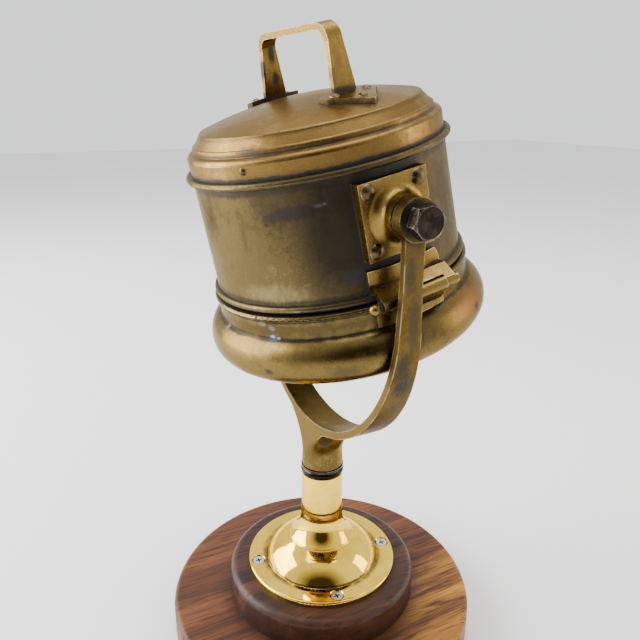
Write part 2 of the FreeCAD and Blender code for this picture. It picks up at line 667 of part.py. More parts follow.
def handle_feet(body):
    """Shield-shaped plates of even thickness that follow the lid's dome."""
    half, start, tip, corner = d.foot_half_length, d.foot_inner, d.foot_tip, d.foot_corner
    sketch = sketch_on(body, "XY_Plane", d.dome_edge - 4)
    for side in (1, -1):
        turn = side * corner
        outline(sketch, [(side * start, -half), (side * (start + 4.6), -half, turn),
                         (side * (start + 8.0), 2.6 - half), (side * (tip - 2.2), -2.2, turn),
                         (side * (tip - 2.2), 2.2), (side * (start + 8.0), half - 2.6, turn),
                         (side * (start + 4.6), half), (side * start, half)])
    pad(body, sketch, d.dome_top - d.dome_edge + 12)
    top, crown = d.dome_top + d.foot_thickness, crown_radius() + d.foot_thickness
    reach = d.dome_radius + 4
    sketch = on_head_axis(body)
    outline(sketch, [(0, top + 20), (0, top, -crown),
                     (reach, top - crown + root(crown * crown - reach * reach)), (reach, top + 20)])
    revolve(body, sketch, cut=True)


def handle():
    """Bail of forged strap whose legs stand on two shield-shaped feet riveted to the dome."""
    body = new_body("handle", HANDLE)
    handle_feet(body)
    strap, thin, top, bend = d.strap, d.strap_foot, d.grip_top, d.grip_corner
    foot, head = d.leg_foot, d.leg_head
    base = d.dome_edge + 2
    sketch = sketch_on(body, "XZ_Plane")
    outline(sketch, [(foot, base), (head, top - bend, bend), (head - bend, top), (bend - head, top, bend),
                     (-head, top - bend), (-foot, base), (thin - foot, base),
                     (strap - head, top - bend, -(bend - strap)), (bend - head, top - strap),
                     (head - bend, top - strap, -(bend - strap)), (head - strap, top - bend),
                     (foot - thin, base)])
    pad(body, sketch, 2 * d.leg_half_width, symmetric=True)
    sketch = sketch_on(body, "YZ_Plane")
    wide, narrow, taper_from = d.leg_half_width, d.grip_half_width, d.dome_top + d.foot_thickness
    for side in (1, -1):
        outline(sketch, [(side * wide, taper_from), (side * (wide + 3), taper_from),
                         (side * (wide + 3), top + 2), (side * narrow, top + 2),
                         (side * narrow, top - bend)])
    pocket(body, sketch, symmetric=True)
    sketch = on_head_axis(body)
    crown, reach = crown_radius(), d.dome_radius + 1
    outline(sketch, [(0, d.dome_edge - 20), (reach, d.dome_edge - 20),
                     (reach, dome_height(reach) + d.fit, crown), (0, d.dome_top + d.fit)])
    revolve(body, sketch, cut=True)
    for place in foot_rivet_places(-10):
        drill(body, place, d.foot_rivet_shank + d.fit, 20)


def handle_rivets():
    blank = domed_fastener(d.foot_rivet_head.value, 1.3, d.foot_rivet_shank.value, 5.0)
    fastener_group("handle_rivets", HANDLE, blank, foot_rivet_places(0.02))


# ---------------------------------------------------------------- head: trunnions
def clear_of_drum(body, bottom, top):
    """Hollows the body to bed on the drum's wall."""
    sketch = sketch_on(body, "XZ_Plane")
    outline(sketch, [(0, bottom), (drum_at(bottom) + d.fit, bottom), (drum_at(top) + d.fit, top), (0, top)])
    revolve(body, sketch, cut=True)


def trunnion_plate(label, frame):
    """Square pad bedded on the drum, with a flared boss that takes the clamp bolt."""
    body = new_body(label, frame)
    half, face, boss = d.plate_half, d.plate_face, d.boss_radius
    sketch = sketch_on(body, "YZ_Plane", d.drum_radius - 4)
    box_outline(sketch, -half, -half, half, half)
    pad(body, sketch, face - d.drum_radius + 4)
    sketch = sketch_on(body, "XY_Plane")
    outline(sketch, [(face - 1, 0), (face - 1, d.boss_foot), (face, d.boss_foot, d.boss_flare),
                     (face + d.boss_foot - boss, boss), (d.boss_face, boss), (d.boss_face, 0)])
    revolve(body, sketch, axis="H_Axis")
    clear_of_drum(body, -30, 30)
    sketch = sketch_on(body, "YZ_Plane", d.drum_radius - 1)
    circle(sketch, 0, 0, d.bolt_radius + d.fit)
    pocket(body, sketch, depth=20, reverse=True)
    sketch = sketch_on(body, "YZ_Plane", d.drum_radius - 6)
    for y, z in plate_rivet_points():
        circle(sketch, y, z, d.plate_rivet_shank + d.fit)
    pocket(body, sketch, depth=20, reverse=True)


def both_sides(points, x):
    """Placements on the +X and -X plates whose Z axes point away from the drum."""
    near = [Placement(V(x, y, z), TOWARDS_X) for y, z in points]
    return near + [HALF_TURN.multiply(place) for place in near]


def trunnion_rivets():
    points = [(y.value, z.value) for y, z in plate_rivet_points()]
    length = (d.plate_face - d.plate_rivet_end).value
    blank = domed_fastener(d.plate_rivet_head.value, 2.0, d.plate_rivet_shank.value, length)
    fastener_group("trunnion_rivets", HEAD, blank, both_sides(points, d.plate_face.value))


def trunnion_bolts():
    fastener_group("trunnion_bolts", HEAD, hex_bolt(), both_sides([(0, 0)], 0.0))


# ---------------------------------------------------------------- hinge
def knuckle(body, start, end, radius):
    """Barrel along Y on the hinge line."""
    sketch = sketch_on(body, "XZ_Plane", -end)
    circle(sketch, d.hinge_x, d.hinge_h, radius)
    pad(body, sketch, end - start)


def web(body, start, end, corners):
    sketch = sketch_on(body, "XZ_Plane", -end)
    outline(sketch, corners)
    pad(body, sketch, end - start)


def bore_hinge(body):
    sketch = sketch_on(body, "XZ_Plane")
    circle(sketch, d.hinge_x, d.hinge_h, d.pin_radius + d.fit)
    pocket(body, sketch, symmetric=True)


def leaf_plate(body, wall, bottom, top, left, right):
    """Curved plate of the leaf's thickness that lies on a wall of the given radius."""
    proud = wall + d.leaf
    sketch = sketch_on(body, "XY_Plane", bottom)
    outline(sketch, [(root(wall * wall - left * left), left),
                     (root(proud * proud - left * left), left, proud),
                     (root(proud * proud - right * right), right),
                     (root(wall * wall - right * right), right, -wall)])
    pad(body, sketch, top - bottom)


def hinge_leaf_drum():
    """Leaf on the drum: it bends out over the foot bead to an outer knuckle at each end of the joint."""
    body = new_body("hinge_leaf_drum", HEAD)
    left, right = d.knuckle_left, d.knuckle_right + d.gap
    x, h = d.hinge_x, d.hinge_h
    foot = d.drum_bottom + 2 * d.foot_bead + 0.1
    wall = drum_at(foot) + d.fit
    leaf_plate(body, wall, foot, d.drum_leaf_top, left, d.drum_leaf_right)
    sketch = sketch_on(body, "YZ_Plane")
    outline(sketch, [(19.0, d.drum_leaf_top + 1), (26, d.drum_leaf_top + 1), (26, -31), (22.4, -31, 12.0)])
    pocket(body, sketch, symmetric=True)
    under, over = [(wall - 4, foot + 0.6), (wall - 4, foot + 4)], (wall + 1.6, foot + 4)
    knuckled = under + [over, (x + 1.6, h + 2.6), (x, h), (x - 2.6, h + 1.0), (wall + 2.9, foot + 0.9)]
    cut_back = under + [over, (x - 0.4, h + 4.0), (x - 3.2, h + 2.6), (wall + 2.9, foot + 0.9)]
    web(body, left, d.knuckle_middle - d.gap, knuckled)
    web(body, d.knuckle_middle - d.gap, right, cut_back)
    web(body, right, d.drum_leaf_right, knuckled)
    knuckle(body, left, d.knuckle_middle - d.gap, d.knuckle_radius)
    knuckle(body, right, d.knuckle_end, d.small_knuckle)
    clear_of_drum(body, -45, -15)
    bore_hinge(body)


def hinge_pin():
    """Pin along the hinge line with a ball at the near end and a peened head at the other."""
    x, h, r = d.hinge_x.value, d.hinge_h.value, d.pin_radius.value
    start, end, ball = d.knuckle_left.value - 1.2, d.knuckle_end.value, d.pin_ball.value
    along = Rotation(V(1, 0, 0), -90)
    shape = Part.makeCylinder(r, end - start + ball, V(0, 0, start - ball))
    shape = shape.fuse(Part.makeSphere(ball, V(0, 0, start - ball * 0.8)))
    head = Part.makeCylinder(2.2, 0.8, V(0, 0, end))
    envelope = Part.makeCylinder(10, end - start + 3 * ball, V(0, 0, start - 3 * ball + 0.8))
    shape = shape.fuse(head).common(envelope)
    fastener_group("hinge_pin", HEAD, shape, [Placement(V(x, 0, h), along)])


def hinge_leaf_bezel():
    """Leaf on the bezel's neck with the middle knuckle, relieved over the neck's bead."""
    body = new_body("hinge_leaf_bezel", HEAD)
    start, end = d.knuckle_middle, d.knuckle_right
    wall, leaf = d.neck_outer + d.fit, d.leaf
    x, h, low, top = d.hinge_x, d.hinge_h, d.bezel_leaf_bottom, d.bezel_leaf_top
    leaf_plate(body, wall, low, top, d.knuckle_left, d.bezel_leaf_right)
    web(body, start, end, [(wall - 2, top), (wall + 1.8, top + 0.8), (x - 2.8, h), (x, h), (x + 1.6, h - 2.6),
                           (wall + leaf, -46.5), (wall - 2, -46.5)])
    knuckle(body, start, end, d.knuckle_radius)
    sketch = sketch_on(body, "XZ_Plane")
    box_outline(sketch, 0, -55, wall, -38)
    revolve(body, sketch, cut=True)
    sketch = sketch_on(body, "XZ_Plane")
    box_outline(sketch, 0, top, d.bezel_bead_radius + d.bezel_bead + d.gap, -38)
    revolve(body, sketch, cut=True)
    bore_hinge(body)


# ---------------------------------------------------------------- bezel
def lip_top():
    return d.bulge_centre_h - d.bulge + d.bezel_wall


def retainer_screw_places(height):
    circle_radius = d.retainer_screw_circle.value
    return [Placement(polar_point(circle_radius, 30 + 60 * k, height), Rotation()) for k in range(6)]


def bezel_ring():
    """Spun ring: a spigot that slips into the drum, a beaded neck and a bulged rim turned in at the mouth."""
    t, bead, bead_r = d.bezel_wall, d.bezel_bead, d.bezel_bead_radius
    top, spigot, neck = d.bezel_top, d.bezel_spigot, d.neck_outer
    cr, ch, low = d.bulge_centre_r, d.bulge_centre_h, d.bulge
    wide = cr + low - neck
    high = (wide * wide + (d.bulge_top - ch) * (d.bulge_top - ch)) / (2 * wide)
    high_in, shift = high - t, neck - t - (cr + low - high)
    meet_in = ch + root(high_in * high_in - shift * shift)
    body = turned("bezel_ring", HEAD, [
        (spigot - 1.1, d.bezel_spigot_top), (spigot, d.bezel_spigot_top), (spigot, top), (bead_r, top, -bead),
        (bead_r + bead, top - bead, -bead), (neck, top - 2 * bead + 0.04), (neck, d.bulge_top, -high),
        (cr + low, ch, -low), (cr, ch - low), (d.bezel_mouth, ch - low),
        (d.bezel_mouth, ch - low + t), (cr, ch - low + t, low - t), (cr + low - t, ch, high_in),
        (neck - t, meet_in),
        (neck - t, top - t), (spigot - 1.1, top - t)])
    place = retainer_screw_places(lip_top().value - 1.1)[0]
    polar(body, drill(body, place, d.small_shank + d.fit, 5), 6)


def glazing():
    seat = lip_top()
    ring("glass_gasket", HEAD, d.bezel_mouth + 0.6, d.glass_radius, seat, seat + d.gasket)
    glass_bottom = seat + d.gasket
    turned("bezel_glass", HEAD, [(0, glass_bottom), (d.glass_radius, glass_bottom),
                                 (d.glass_radius, glass_bottom + d.glass), (0, glass_bottom + d.glass)])
    glass_top = glass_bottom + d.glass
    edge = d.glass_radius + d.gap
    body = turned("glass_retainer", HEAD, [(edge, seat), (d.retainer_radius, seat),
                                           (d.retainer_radius, glass_top + d.retainer_cap),
                                           (d.retainer_lip, glass_top + d.retainer_cap),
                                           (d.retainer_lip, glass_top), (edge, glass_top)])
    place = retainer_screw_places(seat.value - 1)[0]
    polar(body, drill(body, place, d.small_shank + d.fit, 10), 6)
    head_seat = (glass_top + d.retainer_cap).value
    length = head_seat - seat.value + 1.0
    blank = slotted(domed_fastener(1.7, 0.9, d.small_shank.value, length), 1.7, 0.9)
    fastener_group("retainer_screws", HEAD, blank, retainer_screw_places(head_seat))


# ---------------------------------------------------------------- gimbal and bowl
def gimbal_brackets():
    """Two bearing blocks soldered inside the drum on the trunnion line."""
    half, face = d.bracket_half_width.value, d.bracket_face.value
    wall = (d.drum_radius - d.sheet - d.fit).value
    drop, pin = d.gimbal_drop.value, (d.gimbal_pin + d.fit).value
    block = Part.makeBox(wall - face, 2 * half, 2 * half, V(face, -half, drop - half))
    block = block.common(Part.makeCylinder(wall, 4 * half, V(0, 0, drop - 2 * half)))
    block = block.cut(Part.makeCylinder(pin, 6.5, V(face - 0.5, 0, drop), V(1, 0, 0)))
    fastener_group("gimbal_brackets", HEAD, block, [Placement(), HALF_TURN])


def gimbal_ring():
    half = d.ring_half_height
    body = ring("gimbal_ring", BOWL, d.ring_inner, d.ring_outer, -half, half)
    sketch = sketch_on(body, "XZ_Plane")
    circle(sketch, 0, 0, d.gimbal_pin + d.fit)
    pocket(body, sketch, symmetric=True)
    sketch = sketch_on(body, "YZ_Plane")
    circle(sketch, 0, 0, d.gimbal_pin)
    pocket(body, sketch, symmetric=True)


def gimbal_pins():
    pin = Part.makeCylinder(d.gimbal_pin.value, 10.0, V(0, 0, d.ring_inner.value + 0.2))
    along_x = Placement(V(), TOWARDS_X)
    fastener_group("ring_pins", BOWL, pin, [along_x, HALF_TURN.multiply(along_x)])
    trunnion = Part.makeCylinder(d.gimbal_pin.value, 14.5, V(0, 0, d.bowl_radius.value - 1.0))
    along_y = Placement(V(), Rotation(V(1, 0, 0), -90))
    fastener_group("bowl_pins", BOWL, trunnion, [along_y, HALF_TURN.multiply(along_y)])


def cover_screw_places(height, flip):
    turn = Rotation(V(1, 0, 0), 180 if flip else 0)
    return [Placement(polar_point(d.bowl_radius.value, 15 + 60 * k, height), turn) for k in range(6)]


def bowl():
    r, wall, rim, low = d.bowl_radius, d.bowl_wall, d.rim_radius, d.bowl_bottom
    body = turned("bowl", BOWL, [(0, d.bowl_top), (r - 4, d.bowl_top, -4.0), (r, d.bowl_top - 4),
                                 (r, low + d.rim), (rim, low + d.rim), (rim, low), (r - wall, low),
                                 (r - wall, d.bowl_top - wall - 2), (r - wall - 2, d.bowl_top - wall),
                                 (0, d.bowl_top - wall)])
    sketch = sketch_on(body, "XZ_Plane")
    circle(sketch, 0, 0, d.gimbal_pin)
    pocket(body, sketch, symmetric=True)
    hole = drill(body, cover_screw_places(low.value - 1, False)[0], d.small_shank + d.fit, 2.6)
    polar(body, hole, 6)


def bowl_glazing():
    low, rim = d.bowl_bottom, d.rim_radius
    ring("bowl_gasket", BOWL, d.cover_inner + 0.6, 40.4, low - 0.6, low)
    turned("bowl_glass", BOWL, [(0, low - 0.6 - d.bowl_glass), (40.6, low - 0.6 - d.bowl_glass),
                                (40.6, low - 0.6), (0, low - 0.6)])
    base = low - 0.6 - d.bowl_glass
    body = turned("bowl_cover", BOWL, [(d.cover_inner, base - d.cover), (rim, base - d.cover), (rim, low),
                                       (40.8, low), (40.8, base), (d.cover_inner, base)])
    under = (base - d.cover).value
    hole = drill(body, cover_screw_places(under - 1, False)[0], d.small_shank + d.fit, 6)
    polar(body, hole, 6)
    blank = domed_fastener(1.6, 0.8, d.small_shank.value, low.value - under + 1.2)
    fastener_group("cover_screws", BOWL, blank, cover_screw_places(under, True))


def ballast_ring():
    bottom = d.ballast_bottom
    ring("ballast_ring", BOWL, d.bowl_radius + d.fit, d.ballast_radius, bottom, bottom + d.ballast_height)


def pivot_bridge():
    """Bar across the mouth of the bowl with the point that carries the card."""
    body = new_body("pivot_bridge", BOWL)
    reach = d.bowl_radius - d.bowl_wall - 0.4
    sketch = sketch_on(body, "XY_Plane", d.bridge_bottom)
    box_outline(sketch, -d.bridge_half_width, -reach, d.bridge_half_width, reach)
    pad(body, sketch, d.bridge)
    sketch = sketch_on(body, "XZ_Plane")
    r, foot, tip = d.pivot_radius, d.bridge_bottom + 0.5, d.card_bottom + 3.0
    outline(sketch, [(0, foot), (2 * r, foot), (2 * r, foot + 2.6), (r, foot + 4), (r, tip - 1.6), (0, tip)])
    revolve(body, sketch)


def lubber_line():
    body = new_body("lubber_line", BOWL)
    wall = d.bowl_radius - d.bowl_wall - 0.05
    sketch = sketch_on(body, "XY_Plane", d.card_bottom - 1.4)
    outline(sketch, [(-2.0, wall - 0.1), (-0.4, d.card_radius + 0.9), (0.4, d.card_radius + 0.9),
                     (2.0, wall - 0.1)])
    pad(body, sketch, 2.4)


# ---------------------------------------------------------------- card
def card_group():
    low, top = d.card_bottom, d.card_bottom + d.card
    ring("compass_card", BOWL, d.cap_radius + d.fit, d.card_radius, low, top)
    ring("card_float", BOWL, d.cap_radius + d.fit, d.float_radius, top, top + d.float_height)
    tip = low + 3.0
    turned("card_cap", BOWL, [(1.8, low - 0.4), (d.cap_radius, low - 0.4), (d.cap_radius, tip + 6),
                              (0, tip + 6), (0, tip + 0.3), (1.8, tip - 2.4)])
    half, size, off = d.magnet_half_length.value, d.magnet.value, d.magnet_offset.value
    blank = Part.makeBox(size, 2 * half, size, V(-size / 2, -half, top.value))
    fastener_group("card_magnets", BOWL, blank, [Placement(V(off, 0, 0), Rotation()),
                                                 Placement(V(-off, 0, 0), Rotation())])


# ---------------------------------------------------------------- build and export
def check(item):
    if "Invalid" in item.State or "Error" in item.State:
        raise RuntimeError("%s failed to recompute: %s" % (item.Label, item.State))


def build():
    felt_pad()
    base_disc()
    base_tier()
    pedestal_base()
    pedestal_post()
    stem_collar()
    pedestal_screws()
    yoke()
    stem_fixings()
    drum()
    lid()
    lid_screws()
    handle()
    handle_rivets()
    trunnion_plate("trunnion_plate_right", HEAD)
    trunnion_plate("trunnion_plate_left", HEAD.multiply(HALF_TURN))
    trunnion_rivets()
    trunnion_bolts()
    hinge_leaf_drum()
    hinge_pin()
    hinge_leaf_bezel()
    bezel_ring()
    glazing()
    gimbal_brackets()
    gimbal_ring()
    gimbal_pins()
    bowl()
    bowl_glazing()
    ballast_ring()
    pivot_bridge()
    lubber_line()
    card_group()


def export():
    doc.recompute()
    for item in doc.Objects:
        check(item)
    os.makedirs("parts", exist_ok=True)
    for item in exported:
        shape = item.Shape
        if shape.isNull() or not shape.isValid():
            raise RuntimeError("%s has no valid shape" % item.Label)
        shape.exportStep("parts/%s.step" % item.Label)
        box = shape.BoundBox
        print("%-22s solids %2d  volume %10.1f  x %7.1f %7.1f  y %7.1f %7.1f  z %7.1f %7.1f" % (
            item.Label, len(shape.Solids), shape.Volume,
            box.XMin, box.XMax, box.YMin, box.YMax, box.ZMin, box.ZMax))


build()
export()
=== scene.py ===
"""Looks of the binnacle compass: camera, light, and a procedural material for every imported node."""
import functools
import json
import math

import bmesh
import bpy
from mathutils import Matrix, Vector


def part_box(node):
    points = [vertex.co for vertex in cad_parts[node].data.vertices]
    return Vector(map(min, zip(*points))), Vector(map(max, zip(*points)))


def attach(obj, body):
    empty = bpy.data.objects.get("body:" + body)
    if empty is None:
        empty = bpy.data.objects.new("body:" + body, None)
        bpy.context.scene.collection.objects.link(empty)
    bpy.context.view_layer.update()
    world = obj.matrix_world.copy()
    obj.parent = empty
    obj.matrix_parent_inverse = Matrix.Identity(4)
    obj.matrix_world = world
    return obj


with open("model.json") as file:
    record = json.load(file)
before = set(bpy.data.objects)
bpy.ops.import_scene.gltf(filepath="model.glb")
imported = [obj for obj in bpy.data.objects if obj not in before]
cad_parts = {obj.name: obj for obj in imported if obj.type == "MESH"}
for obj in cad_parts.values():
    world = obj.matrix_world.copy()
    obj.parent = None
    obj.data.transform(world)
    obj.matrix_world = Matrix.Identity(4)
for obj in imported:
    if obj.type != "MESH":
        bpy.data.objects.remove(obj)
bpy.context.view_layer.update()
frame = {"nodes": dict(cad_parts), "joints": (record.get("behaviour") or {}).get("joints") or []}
NODES = frame["nodes"]
JOINTS = {joint["name"]: joint for joint in frame["joints"]}

MM = 0.001
# Frames in which materials are laid out: upright for the stand and yoke, tilted with the drum for the head.
TRUNNION = Vector(JOINTS["head_tilt"]["pos_m"])
HINGE_AXIS = Vector(JOINTS["bezel_hinge"]["axis"])
TILT = math.atan2(-HINGE_AXIS.z, -HINGE_AXIS.y)
HEAD = Matrix.Translation(TRUNNION) @ Matrix.Rotation(TILT, 4, "X")
STAND = Matrix.Identity(4)


# ---------------------------------------------------------------- shader building blocks
SOCKETS = {
    "colour": "Base Color", "metal": "Metallic", "rough": "Roughness", "normal": "Normal",
    "coat": "Coat Weight", "coat_rough": "Coat Roughness", "clear": "Transmission Weight",
    "ior": "IOR", "sheen": "Sheen Weight", "specular": "Specular IOR Level", "edge_tint": "Specular Tint",
}
PATCH_DEPTH = 9.0  # how far a stain reaches through the sheet, mm
SIDE_BEGINS = (0.050, 0.056)  # distance from the head's middle plane where the trunnion sides fade in, m


class Shade:
    """One material and the short names for the nodes that build it."""

    def __init__(self, name, place=STAND):
        self.material = bpy.data.materials.new(name)
        self.material.use_nodes = True
        self.tree = self.material.node_tree
        self.tree.nodes.clear()
        self.out = self.node("ShaderNodeOutputMaterial")
        self.shader = self.node("ShaderNodeBsdfPrincipled")
        self.tree.links.new(self.shader.outputs["BSDF"], self.out.inputs["Surface"])
        coordinates = self.node("ShaderNodeTexCoord")
        mapping = self.node("ShaderNodeMapping")
        mapping.vector_type = "TEXTURE"
        self.link(coordinates.outputs["Object"], mapping.inputs["Vector"])
        mapping.inputs["Location"].default_value = place.to_translation()
        mapping.inputs["Rotation"].default_value = place.to_euler()
        self.place = mapping.outputs["Vector"]

    def node(self, kind):
        return self.tree.nodes.new(kind)

    def link(self, source, target):
        self.tree.links.new(source, target)

    def feed(self, target, value):
        if isinstance(value, bpy.types.NodeSocket):
            self.link(value, target)
        elif isinstance(value, (tuple, list)) and target.type == "RGBA" and len(value) == 3:
            target.default_value = (*value, 1.0)
        else:
            target.default_value = value

    def math(self, operation, a, b=0.0, clamp=False):
        node = self.node("ShaderNodeMath")
        node.operation = operation
        node.use_clamp = clamp
        self.feed(node.inputs[0], a)
        self.feed(node.inputs[1], b)
        return node.outputs[0]

    def times(self, a, b):
        return self.math("MULTIPLY", a, b)

    def plus(self, a, b):
        return self.math("ADD", a, b)

    def minus(self, a, b, clamp=False):
        return self.math("SUBTRACT", a, b, clamp)

    def measure(self, operation, vector, other=None):
        """A number from one or two vectors, by LENGTH or DOT_PRODUCT."""
        node = self.node("ShaderNodeVectorMath")
        node.operation = operation
        self.link(vector, node.inputs[0])
        if other is not None:
            self.feed(node.inputs[1], other)
        return node.outputs["Value"]

    def axes(self):
        """The three coordinates of a point in the material's own frame."""
        split = self.node("ShaderNodeSeparateXYZ")
        self.link(self.place, split.inputs[0])
        return split.outputs

    def stretch(self, x=1.0, y=1.0, z=1.0, turn=(0.0, 0.0, 0.0), move=(0.0, 0.0, 0.0), source=None):
        """The frame scaled, turned and moved, so that a noise laid on it becomes streaks."""
        node = self.node("ShaderNodeMapping")
        self.link(source or self.place, node.inputs["Vector"])
        node.inputs["Scale"].default_value = (x, y, z)
        node.inputs["Rotation"].default_value = turn
        node.inputs["Location"].default_value = move
        return node.outputs["Vector"]

    def noise(self, scale, detail=4.0, rough=0.55, bend=0.0, source=None):
        node = self.node("ShaderNodeTexNoise")
        self.link(source or self.place, node.inputs["Vector"])
        node.inputs["Scale"].default_value = scale
        node.inputs["Detail"].default_value = detail
        node.inputs["Roughness"].default_value = rough
        node.inputs["Distortion"].default_value = bend
        return node.outputs["Fac"]

    def wobble(self, scale, rough, reach):
        """Noise of about plus or minus half the reach, which makes the rim of a stain ragged."""
        return self.times(self.minus(self.noise(scale, 5.0, rough), 0.5), reach)

    def cells(self, scale):
        """Distance to the nearest of many scattered points."""
        node = self.node("ShaderNodeTexVoronoi")
        self.link(self.place, node.inputs["Vector"])
        node.inputs["Scale"].default_value = scale
        return node.outputs["Distance"]

    def band(self, value, low, high, start=0.0, end=1.0):
        """Smooth step from start to end while the value goes from low to high."""
        node = self.node("ShaderNodeMapRange")
        node.interpolation_type = "SMOOTHSTEP"
        self.link(value, node.inputs["Value"])
        for name, number in (("From Min", low), ("From Max", high), ("To Min", start), ("To Max", end)):
            node.inputs[name].default_value = number
        return node.outputs["Result"]

    def ramp(self, value, stops):
        node = self.node("ShaderNodeValToRGB")
        self.link(value, node.inputs["Fac"])
        elements = node.color_ramp.elements
        while len(elements) < len(stops):
            elements.new(0.5)
        for element, (position, colour) in zip(elements, stops):
            element.position = position
            element.color = (*colour, 1.0)
        return node.outputs["Color"]

    def mix(self, factor, a, b, blend="MIX"):
        node = self.node("ShaderNodeMix")
        node.data_type = "RGBA"
        node.blend_type = blend
        self.feed(node.inputs["Factor"], factor)
        self.feed(node.inputs["A"], a)
        self.feed(node.inputs["B"], b)
        return node.outputs["Result"]

    def crevice_shade(self, distance, low=0.35, high=0.8):
        """1 in corners and seams, 0 in the open, from occlusion; it places painted shade."""
        node = self.node("ShaderNodeAmbientOcclusion")
        node.samples = 6
        node.inputs["Distance"].default_value = distance
        return self.band(node.outputs["AO"], low, high, 1.0, 0.0)

    def edge(self, radius):
        """1 on convex and concave edges, 0 on faces."""
        bevel = self.node("ShaderNodeBevel")
        bevel.samples = 6
        bevel.inputs["Radius"].default_value = radius
        geometry = self.node("ShaderNodeNewGeometry")
        agree = self.measure("DOT_PRODUCT", bevel.outputs["Normal"], geometry.outputs["Normal"])
        return self.band(agree, 0.90, 0.995, 1.0, 0.0)

    def patch(self, azimuth, height, radius, across, up):
        """1 in a soft stain at a place in the frame, sizes in mm; a small one has a ragged rim."""
        angle = math.radians(azimuth)
        node = self.node("ShaderNodeMapping")
        node.vector_type = "TEXTURE"
        self.link(self.place, node.inputs["Vector"])
        centre = (radius * math.cos(angle), radius * math.sin(angle), height)
        node.inputs["Location"].default_value = [MM * value for value in centre]
        node.inputs["Rotation"].default_value = (0.0, 0.0, angle)
        node.inputs["Scale"].default_value = [MM * value for value in (PATCH_DEPTH, across, up)]
        away = self.measure("LENGTH", node.outputs["Vector"])
        ragged = self.wobble(420.0, 0.7, 3.0 * min(0.55, 5.0 / up))
        return self.band(self.plus(away, ragged), 0.30, 1.20, 1.0, 0.0)

    def beside(self, centre, half, width):
        """1 just outside a rectangle (y, height) on both trunnion sides of the head, sizes in mm, ragged."""
        x, y, z = self.axes()
        gaps = []
        for value, middle, reach in zip((y, z), centre, half):
            away = self.math("ABSOLUTE", self.minus(value, middle * MM))
            gaps.append(self.minus(away, reach * MM))
        gap = self.plus(self.math("MAXIMUM", *gaps), self.wobble(170.0, 0.7, 2.4 * width * MM))
        on_side = self.band(self.math("ABSOLUTE", x), *SIDE_BEGINS)
        return self.times(self.band(gap, 0.25 * width * MM, width * MM, 1.0, 0.0), on_side)

    def girdle(self, height, half):
        """1 on a band round the axis at a height, fading raggedly over a half width, in mm."""
        away = self.math("ABSOLUTE", self.minus(self.axes()[2], height * MM))
        ragged = self.wobble(140.0, 0.65, 2.2 * half * MM)
        return self.band(self.plus(away, ragged), 0.15 * half * MM, half * MM, 1.0, 0.0)

    def round_axis(self):
        """Distance from the frame's upright axis, in metres."""
        return self.measure("LENGTH", self.stretch(z=0.0))

    def along(self, direction):
        """How far a point lies along a direction, in metres."""
        return self.measure("DOT_PRODUCT", self.place, direction)

    def bump(self, height, strength, distance, below=None):
        node = self.node("ShaderNodeBump")
        node.inputs["Strength"].default_value = strength
        node.inputs["Distance"].default_value = distance
        self.link(height, node.inputs["Height"])
        if below is not None:
            self.link(below, node.inputs["Normal"])
        return node.outputs["Normal"]

    def set(self, **values):
        for name, value in values.items():
            self.feed(self.shader.inputs[SOCKETS[name]], value)
        return self.material


def dress(material, *names):
    """Puts a material on every slot of the named nodes."""
    for name in names:
        for slot in NODES[name].material_slots:
            slot.material = material


# ---------------------------------------------------------------- metals
# Near-black for soot, pits and stains, and for painted shade in corners and round the plates.
SOOT_AND_SHADE = (0.014, 0.012, 0.013)
BLUE_BLACK = (0.018, 0.022, 0.038)
# Blue-grey for dirt and painted shade round the plates and the hinge leaf.
BLUE_SOOT_AND_SHADE = (0.035, 0.042, 0.060)
RUBBED_BRASS = (0.66, 0.50, 0.24)
OLD_BRASS_EDGE = (0.78, 0.71, 0.60)
BRIGHT_BRASS_EDGE = (0.97, 0.86, 0.60)


def blotches(s, colour, fine, spots, fittings, girdles):
    """Lays dirty bands, dirt and painted shade round fittings, and single stains over a colour.

    In degrees and mm, a spot is (azimuth, height, radius, half width, half height, colour, strength), a
    fitting is a plate's (centre, half size, width of the dirt and painted shade round it), and a girdle is a
    dirty band's (height, half width, colour, strength). Gives the colour, and where it is stained, or None.
    """
    stained = []
    for height, half, tint, strength in girdles:
        colour = s.mix(s.times(s.girdle(height, half), strength), colour, tint)
    for centre, half, width in fittings:
        dirt_and_shade = s.beside(centre, half, width)
        # Dirt and painted shade just outside the plates and the hinge leaf.
        colour = s.mix(s.times(dirt_and_shade, 0.93), colour, s.mix(fine, SOOT_AND_SHADE, BLUE_SOOT_AND_SHADE))
        stained.append(dirt_and_shade)
    for *place, tint, strength in spots:
        patch = s.times(s.patch(*place), strength)
        colour = s.mix(patch, colour, tint)
        stained.append(patch)
    if not stained:
        return colour, None
    return colour, functools.reduce(lambda a, b: s.math("MAXIMUM", a, b), stained)


